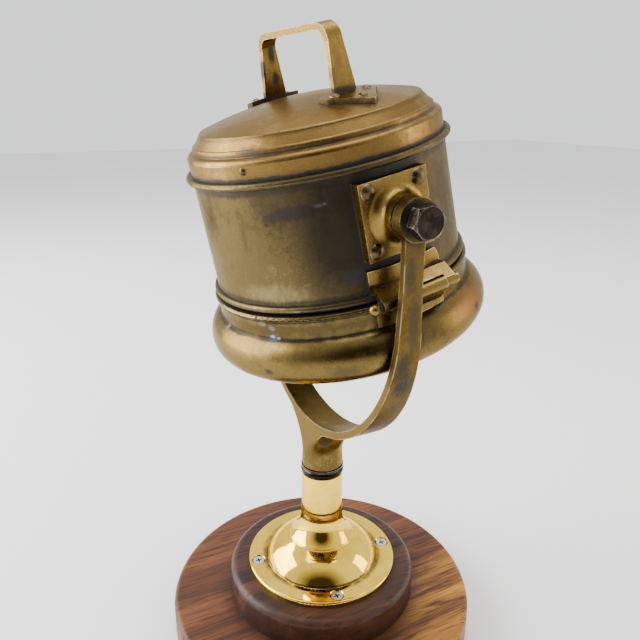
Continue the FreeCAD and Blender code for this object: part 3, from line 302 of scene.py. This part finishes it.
def aged_brass(name, place, light, mid, deep, wear=0.6, rough=(0.26, 0.50), grime_and_shade_reach=0.007, shift=0.0, spots=(),
               fittings=(), girdles=()):
    """Old brass: cloudy brown patina, streaks, freckles, grime and painted shade in the corners, worn edges
    and stains.
    """
    s = Shade(name, place)
    broad = s.noise(13.0, 5.0, 0.58, 0.5, source=s.stretch(move=(shift, 0.0, shift)))
    clouds = s.noise(52.0, 6.0, 0.62, 0.3)
    fine = s.noise(310.0, 6.0, 0.7)
    dust = s.noise(1900.0, 4.0, 0.7)
    runs = s.noise(120.0, 4.0, 0.55, source=s.stretch(z=0.07))
    cover = s.times(broad, 0.42)
    for layer, share in ((clouds, 0.26), (fine, 0.17), (runs, 0.15)):
        cover = s.plus(cover, s.times(layer, share))
    colour = s.ramp(cover, [(0.36, light), (0.46, mid), (0.53, mid), (0.65, deep)])
    colour = s.mix(s.band(dust, 0.40, 0.75, 0.0, 0.55), colour, deep)
    colour = s.mix(s.times(s.band(dust, 0.36, 0.22, 0.0, 0.6), s.band(clouds, 0.55, 0.4)), colour, light)
    freckle = s.times(s.band(s.cells(420.0), 0.06, 0.16, 1.0, 0.0), s.band(clouds, 0.48, 0.60))
    pit = s.times(s.band(s.cells(150.0), 0.03, 0.07, 1.0, 0.0), s.band(s.noise(31.0, 2.0), 0.50, 0.62))
    colour = s.mix(s.times(freckle, 0.7), colour, SOOT_AND_SHADE)
    colour = s.mix(s.times(pit, 0.85), colour, SOOT_AND_SHADE)
    scratch = s.noise(520.0, 3.0, 0.5, 0.2, source=s.stretch(z=0.04, turn=(0.35, 0.2, 0.5)))
    hairline = s.times(s.band(scratch, 0.66, 0.74), s.band(clouds, 0.44, 0.60))
    colour = s.mix(s.times(hairline, 0.10), colour, light)
    rubbed = s.times(s.edge(0.0008), s.band(s.noise(130.0, 4.0), 0.36, 0.58))
    colour = s.mix(s.times(rubbed, wear), colour, RUBBED_BRASS)
    # Painted shade in the wider hollows; in the tight corners painted shade with grime, which also dulls the
    # metal.
    wide_shade = s.times(s.crevice_shade(grime_and_shade_reach * 2.4, 0.50, 1.0), s.band(clouds, 0.30, 0.62, 0.35, 0.9))
    tight_grime_and_shade = s.times(s.crevice_shade(grime_and_shade_reach * 0.55, 0.50, 0.96), s.band(fine, 0.28, 0.52, 0.50, 1.0))
    colour = s.mix(wide_shade, colour, tuple(0.40 * c for c in deep))
    colour = s.mix(tight_grime_and_shade, colour, SOOT_AND_SHADE)
    colour, stained = blotches(s, colour, fine, spots, fittings, girdles)
    roughness = s.plus(s.band(cover, 0.36, 0.66, *rough), s.times(tight_grime_and_shade, 0.28))
    metal = s.minus(1.0, s.times(tight_grime_and_shade, 0.85))
    if stained is not None:
        roughness = s.plus(roughness, s.times(stained, 0.15))
        metal = s.minus(metal, s.times(stained, 0.45), clamp=True)
    relief = s.plus(s.times(fine, 0.7), s.times(scratch, 0.3))
    normal = s.bump(clouds, 0.10, 0.0022)
    normal = s.bump(relief, 0.22, 0.0006, below=normal)
    normal = s.bump(dust, 0.16, 0.0002, below=normal)
    normal = s.bump(s.plus(pit, freckle), -0.45, 0.0003, below=normal)
    return s.set(colour=colour, metal=metal, rough=roughness, normal=normal, edge_tint=OLD_BRASS_EDGE)


BELL_FOOT = (44.9, 1.3)  # height and half width of the painted shade where the bell meets the flange, mm
BELL_FOOT_INSIDE = (0.0320, 0.0345)  # radii between which that painted shade fades in, m
BELL_FOOT_OUTSIDE = (0.0395, 0.0365)  # radii between which it fades out again, m
NECK_SEAM = (80.4, 2.2)  # height and half width of the brown band where the post leaves the neck, mm


def polished_brass():
    """Mirror-bright turned brass with a faint haze, tiny pits, and tarnish with painted shade in the corners.
    """
    s = Shade("polished_brass")
    haze = s.noise(42.0, 5.0, 0.6)
    smudge = s.noise(160.0, 6.0, 0.65)
    pits = s.times(s.band(s.cells(430.0), 0.06, 0.15, 1.0, 0.0), s.band(s.noise(55.0, 2.0), 0.46, 0.58))
    foot_shade = s.girdle(*BELL_FOOT)
    for fade in (BELL_FOOT_INSIDE, BELL_FOOT_OUTSIDE):
        foot_shade = s.times(foot_shade, s.band(s.round_axis(), *fade))
    corner_tarnish_and_shade = s.crevice_shade(0.0016, 0.30, 0.90)
    colour = s.mix(s.band(haze, 0.35, 0.7), (0.96, 0.665, 0.085), (0.82, 0.475, 0.040))
    colour = s.mix(s.times(s.band(smudge, 0.55, 0.75), 0.45), colour, (0.55, 0.30, 0.08))
    colour = s.mix(s.times(pits, 0.9), colour, (0.10, 0.06, 0.03))
    # Painted shade in the corners, with tarnish that also roughens them.
    colour = s.mix(s.times(corner_tarnish_and_shade, s.band(smudge, 0.32, 0.60, 0.35, 1.0)), colour, (0.06, 0.035, 0.02))
    # Painted shade in the crease where the bell meets the flange.
    colour = s.mix(s.times(foot_shade, 0.85), colour, (0.045, 0.035, 0.025))
    colour = s.mix(s.times(s.girdle(*NECK_SEAM), 0.45), colour, (0.20, 0.12, 0.04))
    rough = s.plus(s.band(haze, 0.3, 0.75, 0.045, 0.13), s.times(pits, 0.3))
    rough = s.plus(rough, s.times(corner_tarnish_and_shade, 0.25))
    rings = s.noise(1300.0, 2.0, 0.5, source=s.stretch(x=0.06, y=0.06))
    normal = s.bump(rings, 0.025, 0.0002)
    normal = s.bump(haze, 0.06, 0.0012, below=normal)
    normal = s.bump(pits, -0.5, 0.0003, below=normal)
    return s.set(colour=colour, metal=1.0, rough=rough, normal=normal, edge_tint=BRIGHT_BRASS_EDGE)


def bright_steel():
    """Zinc-bright steel with a fine grain, painted shade in its recesses and a little brown tarnish."""
    s = Shade("bright_steel")
    grain = s.noise(900.0, 3.0)
    rust = s.times(s.band(s.noise(500.0, 5.0), 0.50, 0.70), 0.5)
    # Painted shade: near-black in the recesses.
    colour = s.mix(s.band(s.crevice_shade(0.0015), 0.2, 0.8), (0.66, 0.69, 0.74), (0.03, 0.03, 0.035))
    colour = s.mix(rust, colour, (0.20, 0.17, 0.15))
    return s.set(colour=colour, metal=1.0, rough=s.band(grain, 0.3, 0.7, 0.16, 0.38),
                 normal=s.bump(grain, 0.15, 0.0002))


def dark_metal(name, tint, worn, rough, place=STAND):
    """Blackened or browned metal with grey rubbed edges and painted shade in its corners and round its foot.
    """
    s = Shade(name, place)
    cloud = s.noise(230.0, 6.0, 0.65)
    colour = s.mix(s.band(cloud, 0.35, 0.7), tint, tuple(c * 2.4 for c in tint))
    colour = s.mix(s.times(s.edge(0.0006), s.band(cloud, 0.3, 0.6, 0.35, 0.95)), colour, worn)
    # Painted shade in corners and seams.
    colour = s.mix(s.times(s.crevice_shade(0.0022, 0.4, 0.95), 0.9), colour, SOOT_AND_SHADE)
    return s.set(colour=colour, metal=1.0, rough=s.band(cloud, 0.3, 0.7, rough, rough + 0.18),
                 normal=s.bump(s.noise(800.0, 5.0), 0.3, 0.0004))


# ---------------------------------------------------------------- wood, felt, glass and the rest
GRAIN_TURN = math.radians(15.0)
ACROSS_GRAIN = (0.966, 0.259, 0.0)


def walnut(name, heart, sap, offset, coat, rim):
    """Oiled walnut: dark heart turning to paler wood across the grain, streaks, pores and a rubbed rim."""
    s = Shade(name)
    lie = (0.0, 0.0, GRAIN_TURN)
    along = s.stretch(x=1.0, y=0.09, z=0.55, turn=lie, move=offset)
    figure = s.noise(24.0, 6.0, 0.55, 1.6, source=along)
    lines = s.noise(150.0, 5.0, 0.62, 0.8, source=along)
    streaks = s.noise(60.0, 4.0, 0.6, 2.2, source=along)
    pores = s.noise(1000.0, 3.0, 0.5, source=s.stretch(x=1.0, y=0.045, z=0.4, turn=lie))
    tone = s.plus(s.times(figure, 0.58), s.times(lines, 0.42))
    wander = s.times(s.minus(figure, 0.5), 0.14)
    paler = s.band(s.plus(s.along(ACROSS_GRAIN), wander), 0.022, 0.070)
    colour = s.mix(paler, s.ramp(tone, heart), s.ramp(tone, sap))
    colour = s.mix(s.band(streaks, 0.54, 0.64, 0.0, 0.75), colour, heart[0][1])
    pore = s.band(pores, 0.54, 0.64)
    colour = s.mix(s.times(pore, 0.6), colour, (0.018, 0.008, 0.005))
    colour = s.mix(s.times(s.edge(0.0014), s.band(lines, 0.3, 0.6, 0.2, 0.8)), colour, rim)
    # Painted shade in corners and hollows.
    colour = s.mix(s.times(s.crevice_shade(0.014, 0.4, 1.0), 0.75), colour, (0.014, 0.007, 0.005))
    rough = s.plus(s.band(tone, 0.3, 0.7, 0.40, 0.52), s.times(pore, 0.25))
    normal = s.bump(pore, -0.35, 0.0004)
    normal = s.bump(lines, 0.16, 0.0005, below=normal)
    return s.set(colour=colour, rough=rough, normal=normal, coat=coat, coat_rough=0.30, specular=0.22)


def felt():
    """Dark green baize, a little matted."""
    s = Shade("felt")
    fibre = s.noise(1500.0, 5.0, 0.7)
    matted = s.noise(60.0, 4.0, 0.6)
    colour = s.mix(fibre, (0.010, 0.045, 0.027), (0.045, 0.14, 0.085))
    colour = s.mix(s.band(matted, 0.5, 0.7, 0.0, 0.6), colour, (0.06, 0.10, 0.07))
    return s.set(colour=colour, rough=0.95, normal=s.bump(fibre, 0.8, 0.0006), sheen=0.4)


def glass(name):
    """Clear glass with faint smears."""
    s = Shade(name)
    smear = s.noise(45.0, 5.0, 0.6)
    return s.set(colour=(0.93, 0.97, 0.96), rough=s.band(smear, 0.45, 0.75, 0.01, 0.09), clear=1.0, ior=1.46)


def plain(name, dark, pale, rough, metal=0.0, scale=260.0, depth=0.2):
    """A cloudy surface between two close colours, for paper, paint, rubber, copper and the floor."""
    s = Shade(name)
    cloud = s.noise(scale, 5.0, 0.6)
    return s.set(colour=s.mix(cloud, dark, pale), rough=s.band(cloud, 0.3, 0.7, rough, rough + 0.15),
                 metal=metal, normal=s.bump(cloud, depth, 0.0003))


def satin_brass():
    """Lacquered brass of the sheltered inner parts: still yellow, with light tarnish and a fine grain."""
    s = Shade("satin_brass")
    cloud = s.noise(90.0, 6.0, 0.62)
    fine = s.noise(600.0, 4.0, 0.6)
    colour = s.mix(s.band(cloud, 0.38, 0.68), (0.74, 0.53, 0.21), (0.42, 0.27, 0.10))
    # Painted shade in corners and seams.
    colour = s.mix(s.times(s.crevice_shade(0.003, 0.4, 0.9), 0.8), colour, SOOT_AND_SHADE)
    colour = s.mix(s.times(s.edge(0.0005), 0.5), colour, (0.92, 0.76, 0.42))
    return s.set(colour=colour, metal=1.0, rough=s.band(cloud, 0.3, 0.7, 0.18, 0.36),
                 normal=s.bump(fine, 0.14, 0.0003))


# Stains, tones from light to deep, and dirty bands of the brass pieces, laid out as blotches() says.
DRUM_SPOTS = (
    # blue-black smear left of the plate, with its bare scratches
    (-38.5, 10.0, 66, 16.0, 4.0, (0.012, 0.014, 0.026), 1.0),
    (-47.5, 9.0, 66, 5.0, 2.2, BLUE_BLACK, 0.7),
    (-29.0, 11.6, 66, 2.6, 1.0, (0.40, 0.40, 0.42), 0.6),
    (-26.6, 12.0, 66, 1.0, 0.8, (0.50, 0.50, 0.52), 0.6),
    (-51.2, 5.8, 66, 1.3, 1.1, SOOT_AND_SHADE, 0.95),
    # faint blotch below it
    (-27.5, -16.3, 67, 6.0, 5.0, BLUE_BLACK, 0.45),
    # broad painted dark reflection towards the plate, dark tarnish, and paler wear low on the left
    (-20.0, -2.0, 66, 34.0, 44.0, (0.010, 0.0065, 0.0036), 0.90),
    (-45.0, 14.0, 66, 18.0, 14.0, (0.040, 0.027, 0.014), 0.55),
    (-55.0, -28.0, 67, 20.0, 5.0, (0.30, 0.225, 0.105), 0.35),
    (-20.0, -24.0, 67, 5.0, 4.0, BLUE_BLACK, 0.6),
    # brown tarnish behind the plate, painted shade over the dim side beyond it, and tarnish on the far side
    (20.0, -14.0, 67, 7.0, 9.0, (0.07, 0.045, 0.025), 0.5),
    (26.0, -2.0, 66, 26.0, 40.0, (0.036, 0.022, 0.009), 0.80),
    (150.0, -8.0, 67, 14.0, 8.0, (0.08, 0.05, 0.03), 0.5),
    (-110.0, 4.0, 66, 6.0, 3.0, BLUE_BLACK, 0.5),
)
LID_SPOTS = (
    (-54.0, 37.9, 62, 7.0, 2.6, (0.05, 0.04, 0.035), 0.7),
    (-95.0, 48.0, 40, 9.0, 3.0, (0.09, 0.06, 0.03), 0.5),
    (60.0, 46.5, 52, 10.0, 3.0, (0.08, 0.05, 0.03), 0.55),
    (170.0, 36.0, 63, 12.0, 3.0, (0.06, 0.05, 0.04), 0.6),
)
BEZEL_SPOTS = (
    # chips and bare metal under the joint
    (-89.1, -51.2, 70, 2.0, 1.5, (0.10, 0.11, 0.13), 0.9),
    (-63.2, -43.6, 70, 3.0, 1.5, (0.17, 0.16, 0.14), 0.5),
    (-58.7, -45.5, 70, 2.2, 1.5, (0.18, 0.18, 0.17), 0.55),
    (-58.3, -50.4, 70, 4.2, 1.9, (0.040, 0.055, 0.085), 0.95),
    (-58.9, -49.9, 70, 1.6, 0.9, (0.34, 0.42, 0.55), 0.95),
    (-56.2, -50.6, 70, 1.1, 0.6, (0.30, 0.38, 0.50), 0.9),
    # crack in the roll and spots on the bulge
    (-65.0, -40.2, 70, 0.8, 2.4, SOOT_AND_SHADE, 1.0),
    (-59.6, -65.3, 78, 3.0, 2.2, SOOT_AND_SHADE, 0.85),
    # tarnish on the bulge, and a painted warm reflection, golden, on its right
    (-30.0, -66.0, 78, 10.0, 3.4, (0.05, 0.035, 0.02), 0.6),
    (-5.0, -58.0, 77, 20.0, 9.0, (0.07, 0.045, 0.018), 0.6),
    (30.0, -58.0, 77, 24.0, 10.0, (0.190, 0.085, 0.014), 0.75),
    (32.2, -62.4, 78, 3.4, 3.0, SOOT_AND_SHADE, 0.9),
    (120.0, -60.0, 78, 8.0, 4.0, SOOT_AND_SHADE, 0.6),
)
YOKE_SPOTS = (
    # wear-through patches down the near arm
    (0.5, 193.0, 82, 7.0, 10.0, (0.020, 0.022, 0.017), 0.97),
    (-1.5, 206.0, 83, 4.0, 8.0, (0.030, 0.028, 0.018), 0.9),
    (1.5, 179.0, 79, 6.0, 7.0, (0.040, 0.031, 0.018), 0.85),
    (1.0, 228.0, 84, 3.6, 18.0, (0.048, 0.036, 0.018), 0.85),
    (-1.0, 251.0, 84, 3.6, 11.0, (0.045, 0.034, 0.017), 0.8),
    (0.0, 166.0, 68, 7.0, 6.0, (0.06, 0.045, 0.02), 0.75),
    # one on the far arm, a painted shadow in the stem's hollow under the near strap, and one on the fork
    (180.0, 197.0, 82, 7.0, 8.0, (0.06, 0.06, 0.045), 0.7),
    (-19.4, 132.7, 16, 5.4, 4.8, (0.040, 0.026, 0.013), 0.9),
    (0.0, 150.0, 40, 4.0, 5.0, (0.12, 0.09, 0.05), 0.6),
)
HANDLE_SPOTS = (
    # soot on the far leg
    (184.0, 73.0, 30, 2.6, 6.5, SOOT_AND_SHADE, 0.9),
    (183.0, 60.0, 31, 2.6, 5.5, SOOT_AND_SHADE, 0.95),
    (196.0, 66.0, 31, 1.6, 7.0, SOOT_AND_SHADE, 0.9),
    # dirt at the near foot and rust-brown up the near leg
    (6.0, 53.0, 31, 8.0, 1.7, SOOT_AND_SHADE, 0.95),
    (2.0, 60.0, 31, 2.0, 5.0, (0.09, 0.045, 0.02), 0.7),
    (10.0, 66.0, 31, 3.0, 7.0, (0.12, 0.06, 0.025), 0.5),
)
DRUM_TONES = ((0.270, 0.210, 0.090), (0.108, 0.080, 0.032), (0.034, 0.023, 0.0105))
LID_TONES = ((0.345, 0.236, 0.078), (0.190, 0.114, 0.033), (0.078, 0.043, 0.013))
BEZEL_TONES = ((0.330, 0.255, 0.090), (0.160, 0.110, 0.033), (0.050, 0.032, 0.011))
YOKE_TONES = ((0.330, 0.230, 0.068), (0.135, 0.087, 0.024), (0.036, 0.023, 0.0075))
HANDLE_TONES = ((0.430, 0.308, 0.090), (0.220, 0.142, 0.036), (0.070, 0.042, 0.013))
PLATE_TONES = ((0.470, 0.335, 0.090), (0.275, 0.178, 0.044), (0.090, 0.054, 0.015))
DRUM_GIRDLES = ((20.6, 2.6, (0.030, 0.024, 0.020), 0.85), (-33.0, 1.9, (0.030, 0.024, 0.020), 0.8),
                (-38.4, 1.4, SOOT_AND_SHADE, 1.0), (30.0, 3.0, SOOT_AND_SHADE, 0.5))
LID_GIRDLES = ((26.4, 1.5, (0.022, 0.022, 0.026), 0.9), (36.4, 1.1, (0.040, 0.030, 0.022), 0.8),
               (43.2, 1.3, (0.050, 0.036, 0.022), 0.5))
BEZEL_GIRDLES = ((-46.5, 5.2, (0.055, 0.040, 0.018), 0.75), (-42.2, 1.0, SOOT_AND_SHADE, 0.8),
                 (-51.3, 1.1, (0.020, 0.016, 0.014), 0.85), (-73.5, 3.0, (0.050, 0.034, 0.016), 0.6))
# Dirt and painted shade round the trunnion plates and the hinge leaf.
PLATE_ROUND = ((0.0, 0.0), (18.0, 18.0), 4.2)
LEAF_ROUND = ((2.0, -28.6), (20.5, 5.8), 3.4)

# Wood tones: stops of (position, colour) from dark to pale.
DISC_HEART = ((0.30, (0.026, 0.0080, 0.0032)), (0.46, (0.082, 0.024, 0.0075)), (0.70, (0.22, 0.074, 0.018)))
DISC_SAP = ((0.30, (0.115, 0.036, 0.005)), (0.46, (0.36, 0.145, 0.016)), (0.70, (0.68, 0.33, 0.038)))
TIER_HEART = ((0.30, (0.014, 0.0050, 0.0032)), (0.48, (0.042, 0.0140, 0.0070)), (0.70, (0.105, 0.036, 0.016)))
TIER_SAP = ((0.30, (0.024, 0.0080, 0.0045)), (0.48, (0.062, 0.021, 0.0095)), (0.70, (0.14, 0.052, 0.022)))


def apply_materials():
    """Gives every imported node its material."""
    dress(felt(), "felt_pad")
    dress(walnut("walnut_light", DISC_HEART, DISC_SAP, offset=(0.4, 0.0, 0.0), coat=0.10,
                 rim=(0.36, 0.20, 0.10)), "base_disc")
    dress(walnut("walnut_dark", TIER_HEART, TIER_SAP, offset=(0.9, 0.3, 0.0), coat=0.12,
                 rim=(0.15, 0.075, 0.042)), "base_tier")
    dress(polished_brass(), "pedestal_base", "pedestal_post")
    dress(dark_metal("blackened_ring", (0.008, 0.008, 0.009), (0.45, 0.33, 0.18), 0.10), "stem_collar")
    dress(bright_steel(), "pedestal_screws", "stem_washer", "stem_screw", "card_magnets")
    dress(aged_brass("yoke_brass", STAND, *YOKE_TONES, wear=0.7, rough=(0.22, 0.42), spots=YOKE_SPOTS),
          "yoke")
    dress(aged_brass("drum_brass", HEAD, *DRUM_TONES, spots=DRUM_SPOTS, girdles=DRUM_GIRDLES,
                     fittings=(PLATE_ROUND, LEAF_ROUND)), "drum")
    dress(aged_brass("lid_brass", HEAD, *LID_TONES, shift=0.3, spots=LID_SPOTS, girdles=LID_GIRDLES), "lid")
    dress(aged_brass("bezel_brass", HEAD, *BEZEL_TONES, rough=(0.17, 0.36), shift=0.7, spots=BEZEL_SPOTS,
                     girdles=BEZEL_GIRDLES), "bezel_ring")
    dress(aged_brass("handle_brass", HEAD, *HANDLE_TONES, wear=0.55, rough=(0.18, 0.38), spots=HANDLE_SPOTS),
          "handle")
    dress(aged_brass("plate_brass", HEAD, *PLATE_TONES, wear=0.8, rough=(0.20, 0.38), grime_and_shade_reach=0.005),
          "trunnion_plate_right", "trunnion_plate_left")
    dress(aged_brass("hinge_brass", HEAD, *HANDLE_TONES, wear=0.9, rough=(0.20, 0.40), grime_and_shade_reach=0.004),
          "hinge_leaf_drum", "hinge_leaf_bezel", "hinge_pin")
    dress(dark_metal("rivet_brass", (0.055, 0.037, 0.017), (0.40, 0.30, 0.14), 0.24, HEAD),
          "lid_screws", "handle_rivets", "trunnion_rivets", "retainer_screws", "cover_screws")
    dress(dark_metal("dark_bronze", (0.020, 0.014, 0.011), (0.36, 0.31, 0.26), 0.20, HEAD), "trunnion_bolts")
    dress(plain("gasket_rubber", (0.01, 0.01, 0.01), (0.03, 0.03, 0.03), 0.6), "glass_gasket", "bowl_gasket")
    dress(glass("clear_glass"), "bezel_glass", "bowl_glass")
    dress(satin_brass(), "glass_retainer", "gimbal_brackets", "gimbal_ring", "ring_pins", "bowl_pins",
          "bowl_cover", "ballast_ring", "pivot_bridge", "card_cap")
    dress(plain("bowl_black", (0.012, 0.012, 0.013), (0.035, 0.035, 0.038), 0.35), "bowl", "lubber_line")
    dress(plain("card_paper", (0.70, 0.66, 0.52), (0.84, 0.81, 0.69), 0.55, scale=70.0), "compass_card")
    dress(plain("float_copper", (0.45, 0.24, 0.13), (0.66, 0.38, 0.23), 0.25, 1.0), "card_float")


# ---------------------------------------------------------------- compass card
CARD_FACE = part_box("compass_card")[0][2]
INK_DEPTH = 0.00006
TICK_STEP = 2
TICK_END = 0.0348
# The first entry whose number of degrees divides a tick's bearing gives its (inner end, half width).
TICK_SIZES = ((30, 0.0315, 0.00022), (10, 0.0325, 0.00022), (TICK_STEP, 0.0335, 0.00011))
RINGS = ((0.0350, 0.0353), (0.0190, 0.0192))
RING_STEPS = 96
POINT_HEEL = 0.0042
POINT_WAIST = 0.0062
POINT_LINE = 0.0007
POINT_TIP_LINE = 0.0012
LETTER_PLACE = 0.0255
LETTER_HALF_WIDTH = 0.0021
LETTER_HALF_HEIGHT = 0.0028
LETTER_HALF_STROKE = 0.00045
# Strokes from (x0, y0) to (x1, y1), in halves of a letter's width and height.
LETTERS = (
    ("north", 0, ((-1, -1, -1, 1), (-1, 1, 1, -1), (1, -1, 1, 1))),
    ("east", 90, ((-1, -1, -1, 1), (-1, 1, 1, 1), (-1, 0, 0.6, 0), (-1, -1, 1, -1))),
    ("south", 180, ((1, 1, -1, 1), (-1, 1, -1, 0), (-1, 0, 1, 0), (1, 0, 1, -1), (1, -1, -1, -1))),
    ("west", 270, ((-1.3, 1, -0.6, -1), (-0.6, -1, 0, 0.5), (0, 0.5, 0.6, -1), (0.6, -1, 1.3, 1))),
)


def ink_piece(name, outlines, material):
    """Printing under the card: an outline is a list of (x, y) seen from below, north up, round the Z axis."""
    shape = bmesh.new()
    for outline in outlines:
        face = shape.faces.new([shape.verts.new((-x, y, CARD_FACE)) for x, y in outline])
        grown = bmesh.ops.extrude_face_region(shape, geom=[face])
        moved = [item for item in grown["geom"] if isinstance(item, bmesh.types.BMVert)]
        bmesh.ops.translate(shape, verts=moved, vec=(0.0, 0.0, -INK_DEPTH))
    bmesh.ops.recalc_face_normals(shape, faces=shape.faces)
    mesh = bpy.data.meshes.new(name)
    shape.to_mesh(mesh)
    shape.free()
    mesh.materials.append(material)
    piece = bpy.data.objects.new(name, mesh)
    bpy.context.scene.collection.objects.link(piece)
    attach(piece, "card")


def on_card(bearing, radius, side=0.0):
    """Point at a bearing and radius, shifted sideways; bearings run against the clock as seen from below."""
    sine, cosine = math.sin(math.radians(bearing)), math.cos(math.radians(bearing))
    return -sine * radius + cosine * side, cosine * radius + sine * side


def degree_marks():
    """Outlines of the ticks, and of the thin rings as short chords."""
    outlines = []
    for bearing in range(0, 360, TICK_STEP):
        inner, half = next(sizes for degrees, *sizes in TICK_SIZES if bearing % degrees == 0)
        outlines.append([on_card(bearing, inner, -half), on_card(bearing, inner, half),
                         on_card(bearing, TICK_END, half), on_card(bearing, TICK_END, -half)])
    for inner, outer in RINGS:
        for k in range(RING_STEPS):
            a, b = 360.0 * k / RING_STEPS, 360.0 * (k + 1) / RING_STEPS
            outlines.append([on_card(a, inner), on_card(b, inner), on_card(b, outer), on_card(a, outer)])
    return outlines


def compass_points(name, bearings, length, half, material):
    """Points with one half filled and the other half in outline."""
    filled, lined = [], []
    for bearing in bearings:
        heel, tip = on_card(bearing, POINT_HEEL), on_card(bearing, length)
        filled.append([heel, on_card(bearing, POINT_WAIST, half), tip])
        waist_inside = on_card(bearing, POINT_WAIST, -half + POINT_LINE)
        lined.append([heel, tip, on_card(bearing, length - POINT_TIP_LINE), waist_inside,
                      on_card(bearing, POINT_WAIST, -half)])
    ink_piece(name, filled, material)
    ink_piece(name + "_outline", lined, material)


def letter_bar(bearing, x0, y0, x1, y1):
    """Outline of one stroke of a letter."""
    across, along = (x1 - x0) * LETTER_HALF_WIDTH, (y1 - y0) * LETTER_HALF_HEIGHT
    scale = LETTER_HALF_STROKE / math.hypot(across, along)
    nx, ny = -along * scale, across * scale
    ends = [(x * LETTER_HALF_WIDTH, y * LETTER_HALF_HEIGHT) for x, y in ((x0, y0), (x1, y1))]
    corners = [(x + nx, y + ny) for x, y in ends] + [(x - nx, y - ny) for x, y in reversed(ends)]
    return [on_card(bearing, LETTER_PLACE + y, x) for x, y in corners]


def card_printing():
    black = plain("card_ink", (0.008, 0.008, 0.010), (0.03, 0.03, 0.035), 0.5)
    red = plain("card_red", (0.28, 0.02, 0.015), (0.42, 0.05, 0.03), 0.5)
    ink_piece("card_ticks", degree_marks(), black)
    compass_points("card_minor_points", range(45, 360, 90), 0.0150, 0.0026, red)
    compass_points("card_major_points", range(0, 360, 90), 0.0185, 0.0034, black)
    for name, bearing, strokes in LETTERS:
        ink_piece("card_letter_" + name, [letter_bar(bearing, *stroke) for stroke in strokes], black)


# ---------------------------------------------------------------- studio
FLOOR_DROP = 0.0004
FLOOR_HALF = 4.0
LIT_POINT = Vector((0.0, 0.0, 0.20))
PALE_BACKDROP = (0.95, 0.96, 0.98, 1.0)
DIM_ROOM = (0.04, 0.038, 0.035, 1.0)
DIM_SIDE = Vector((0.86, -0.46, 0.22)).normalized()
DIM_FADE = (0.62, 0.93)
ROOM_STRENGTH = 1.36

CAMERA_PLACE = Vector((0.3076, -0.1636, 0.3243))
CAMERA_HEADING = math.radians(152.334)
CAMERA_DOWN = math.radians(19.059)
CAMERA_ROLL = math.radians(0.45)
SENSOR_WIDTH = 36.0
FOCAL_LENGTH = 36.12


def area_light(name, place, size, watts, colour=(1.0, 1.0, 1.0)):
    light = bpy.data.lights.new(name, "AREA")
    light.shape = "RECTANGLE"
    light.size, light.size_y = size
    light.energy = watts
    light.color = colour
    lamp = bpy.data.objects.new(name, light)
    bpy.context.scene.collection.objects.link(lamp)
    lamp.location = place
    lamp.rotation_euler = (LIT_POINT - Vector(place)).to_track_quat("-Z", "Y").to_euler()


def room():
    """Plain pale backdrop; only what the metal reflects has a dim side, as a room does."""
    world = bpy.data.worlds.new("studio")
    bpy.context.scene.world = world
    world.use_nodes = True
    nodes, links = world.node_tree.nodes, world.node_tree.links
    coordinates = nodes.new("ShaderNodeTexCoord")
    toward = nodes.new("ShaderNodeVectorMath")
    toward.operation = "DOT_PRODUCT"
    toward.inputs[1].default_value = DIM_SIDE
    links.new(coordinates.outputs["Generated"], toward.inputs[0])
    shade = nodes.new("ShaderNodeValToRGB")
    for stop, position, colour in zip(shade.color_ramp.elements, DIM_FADE, (PALE_BACKDROP, DIM_ROOM)):
        stop.position = position
        stop.color = colour
    links.new(toward.outputs["Value"], shade.inputs["Fac"])
    path = nodes.new("ShaderNodeLightPath")
    seen = nodes.new("ShaderNodeMix")
    seen.data_type = "RGBA"
    seen.inputs["B"].default_value = PALE_BACKDROP
    links.new(path.outputs["Is Camera Ray"], seen.inputs["Factor"])
    links.new(shade.outputs["Color"], seen.inputs["A"])
    links.new(seen.outputs["Result"], nodes["Background"].inputs["Color"])
    nodes["Background"].inputs["Strength"].default_value = ROOM_STRENGTH


def floor():
    """A plain pale floor, set just under the felt."""
    mesh = bpy.data.meshes.new("floor")
    shape = bmesh.new()
    bmesh.ops.create_grid(shape, x_segments=1, y_segments=1, size=FLOOR_HALF)
    shape.to_mesh(mesh)
    shape.free()
    mesh.materials.append(plain("pale_floor", (0.88, 0.88, 0.88), (0.91, 0.91, 0.91), 0.5, depth=0.02))
    plane = bpy.data.objects.new("floor", mesh)
    plane.location.z = -FLOOR_DROP
    bpy.context.scene.collection.objects.link(plane)


def studio():
    room()
    floor()
    area_light("window", (-0.75, -1.15, 0.70), (1.3, 1.3), 54.0, (1.0, 0.99, 0.97))
    area_light("warm_side", (0.55, 1.25, 0.55), (0.5, 0.9), 7.5, (1.0, 0.80, 0.56))
    area_light("top", (-0.2, 0.1, 1.7), (1.4, 1.4), 24.0)


def camera():
    """Stands about 0.35 m off, to the +X and -Y side, looking 19 degrees down."""
    level = Vector((math.cos(CAMERA_HEADING), math.sin(CAMERA_HEADING), 0.0))
    forward = level * math.cos(CAMERA_DOWN) - Vector((0.0, 0.0, math.sin(CAMERA_DOWN)))
    right = forward.cross(Vector((0.0, 0.0, 1.0))).normalized()
    up = right.cross(forward)
    turned_right = right * math.cos(CAMERA_ROLL) + up * math.sin(CAMERA_ROLL)
    turned_up = up * math.cos(CAMERA_ROLL) - right * math.sin(CAMERA_ROLL)
    lens = bpy.data.cameras.new("camera")
    lens.sensor_width = SENSOR_WIDTH
    lens.lens = FOCAL_LENGTH
    lens.clip_start = 0.01
    view = bpy.data.objects.new("camera", lens)
    bpy.context.scene.collection.objects.link(view)
    rotation = Matrix((turned_right, turned_up, -forward)).transposed().to_4x4()
    view.matrix_world = Matrix.Translation(CAMERA_PLACE) @ rotation
    bpy.context.scene.camera = view


apply_materials()
card_printing()
studio()
camera()
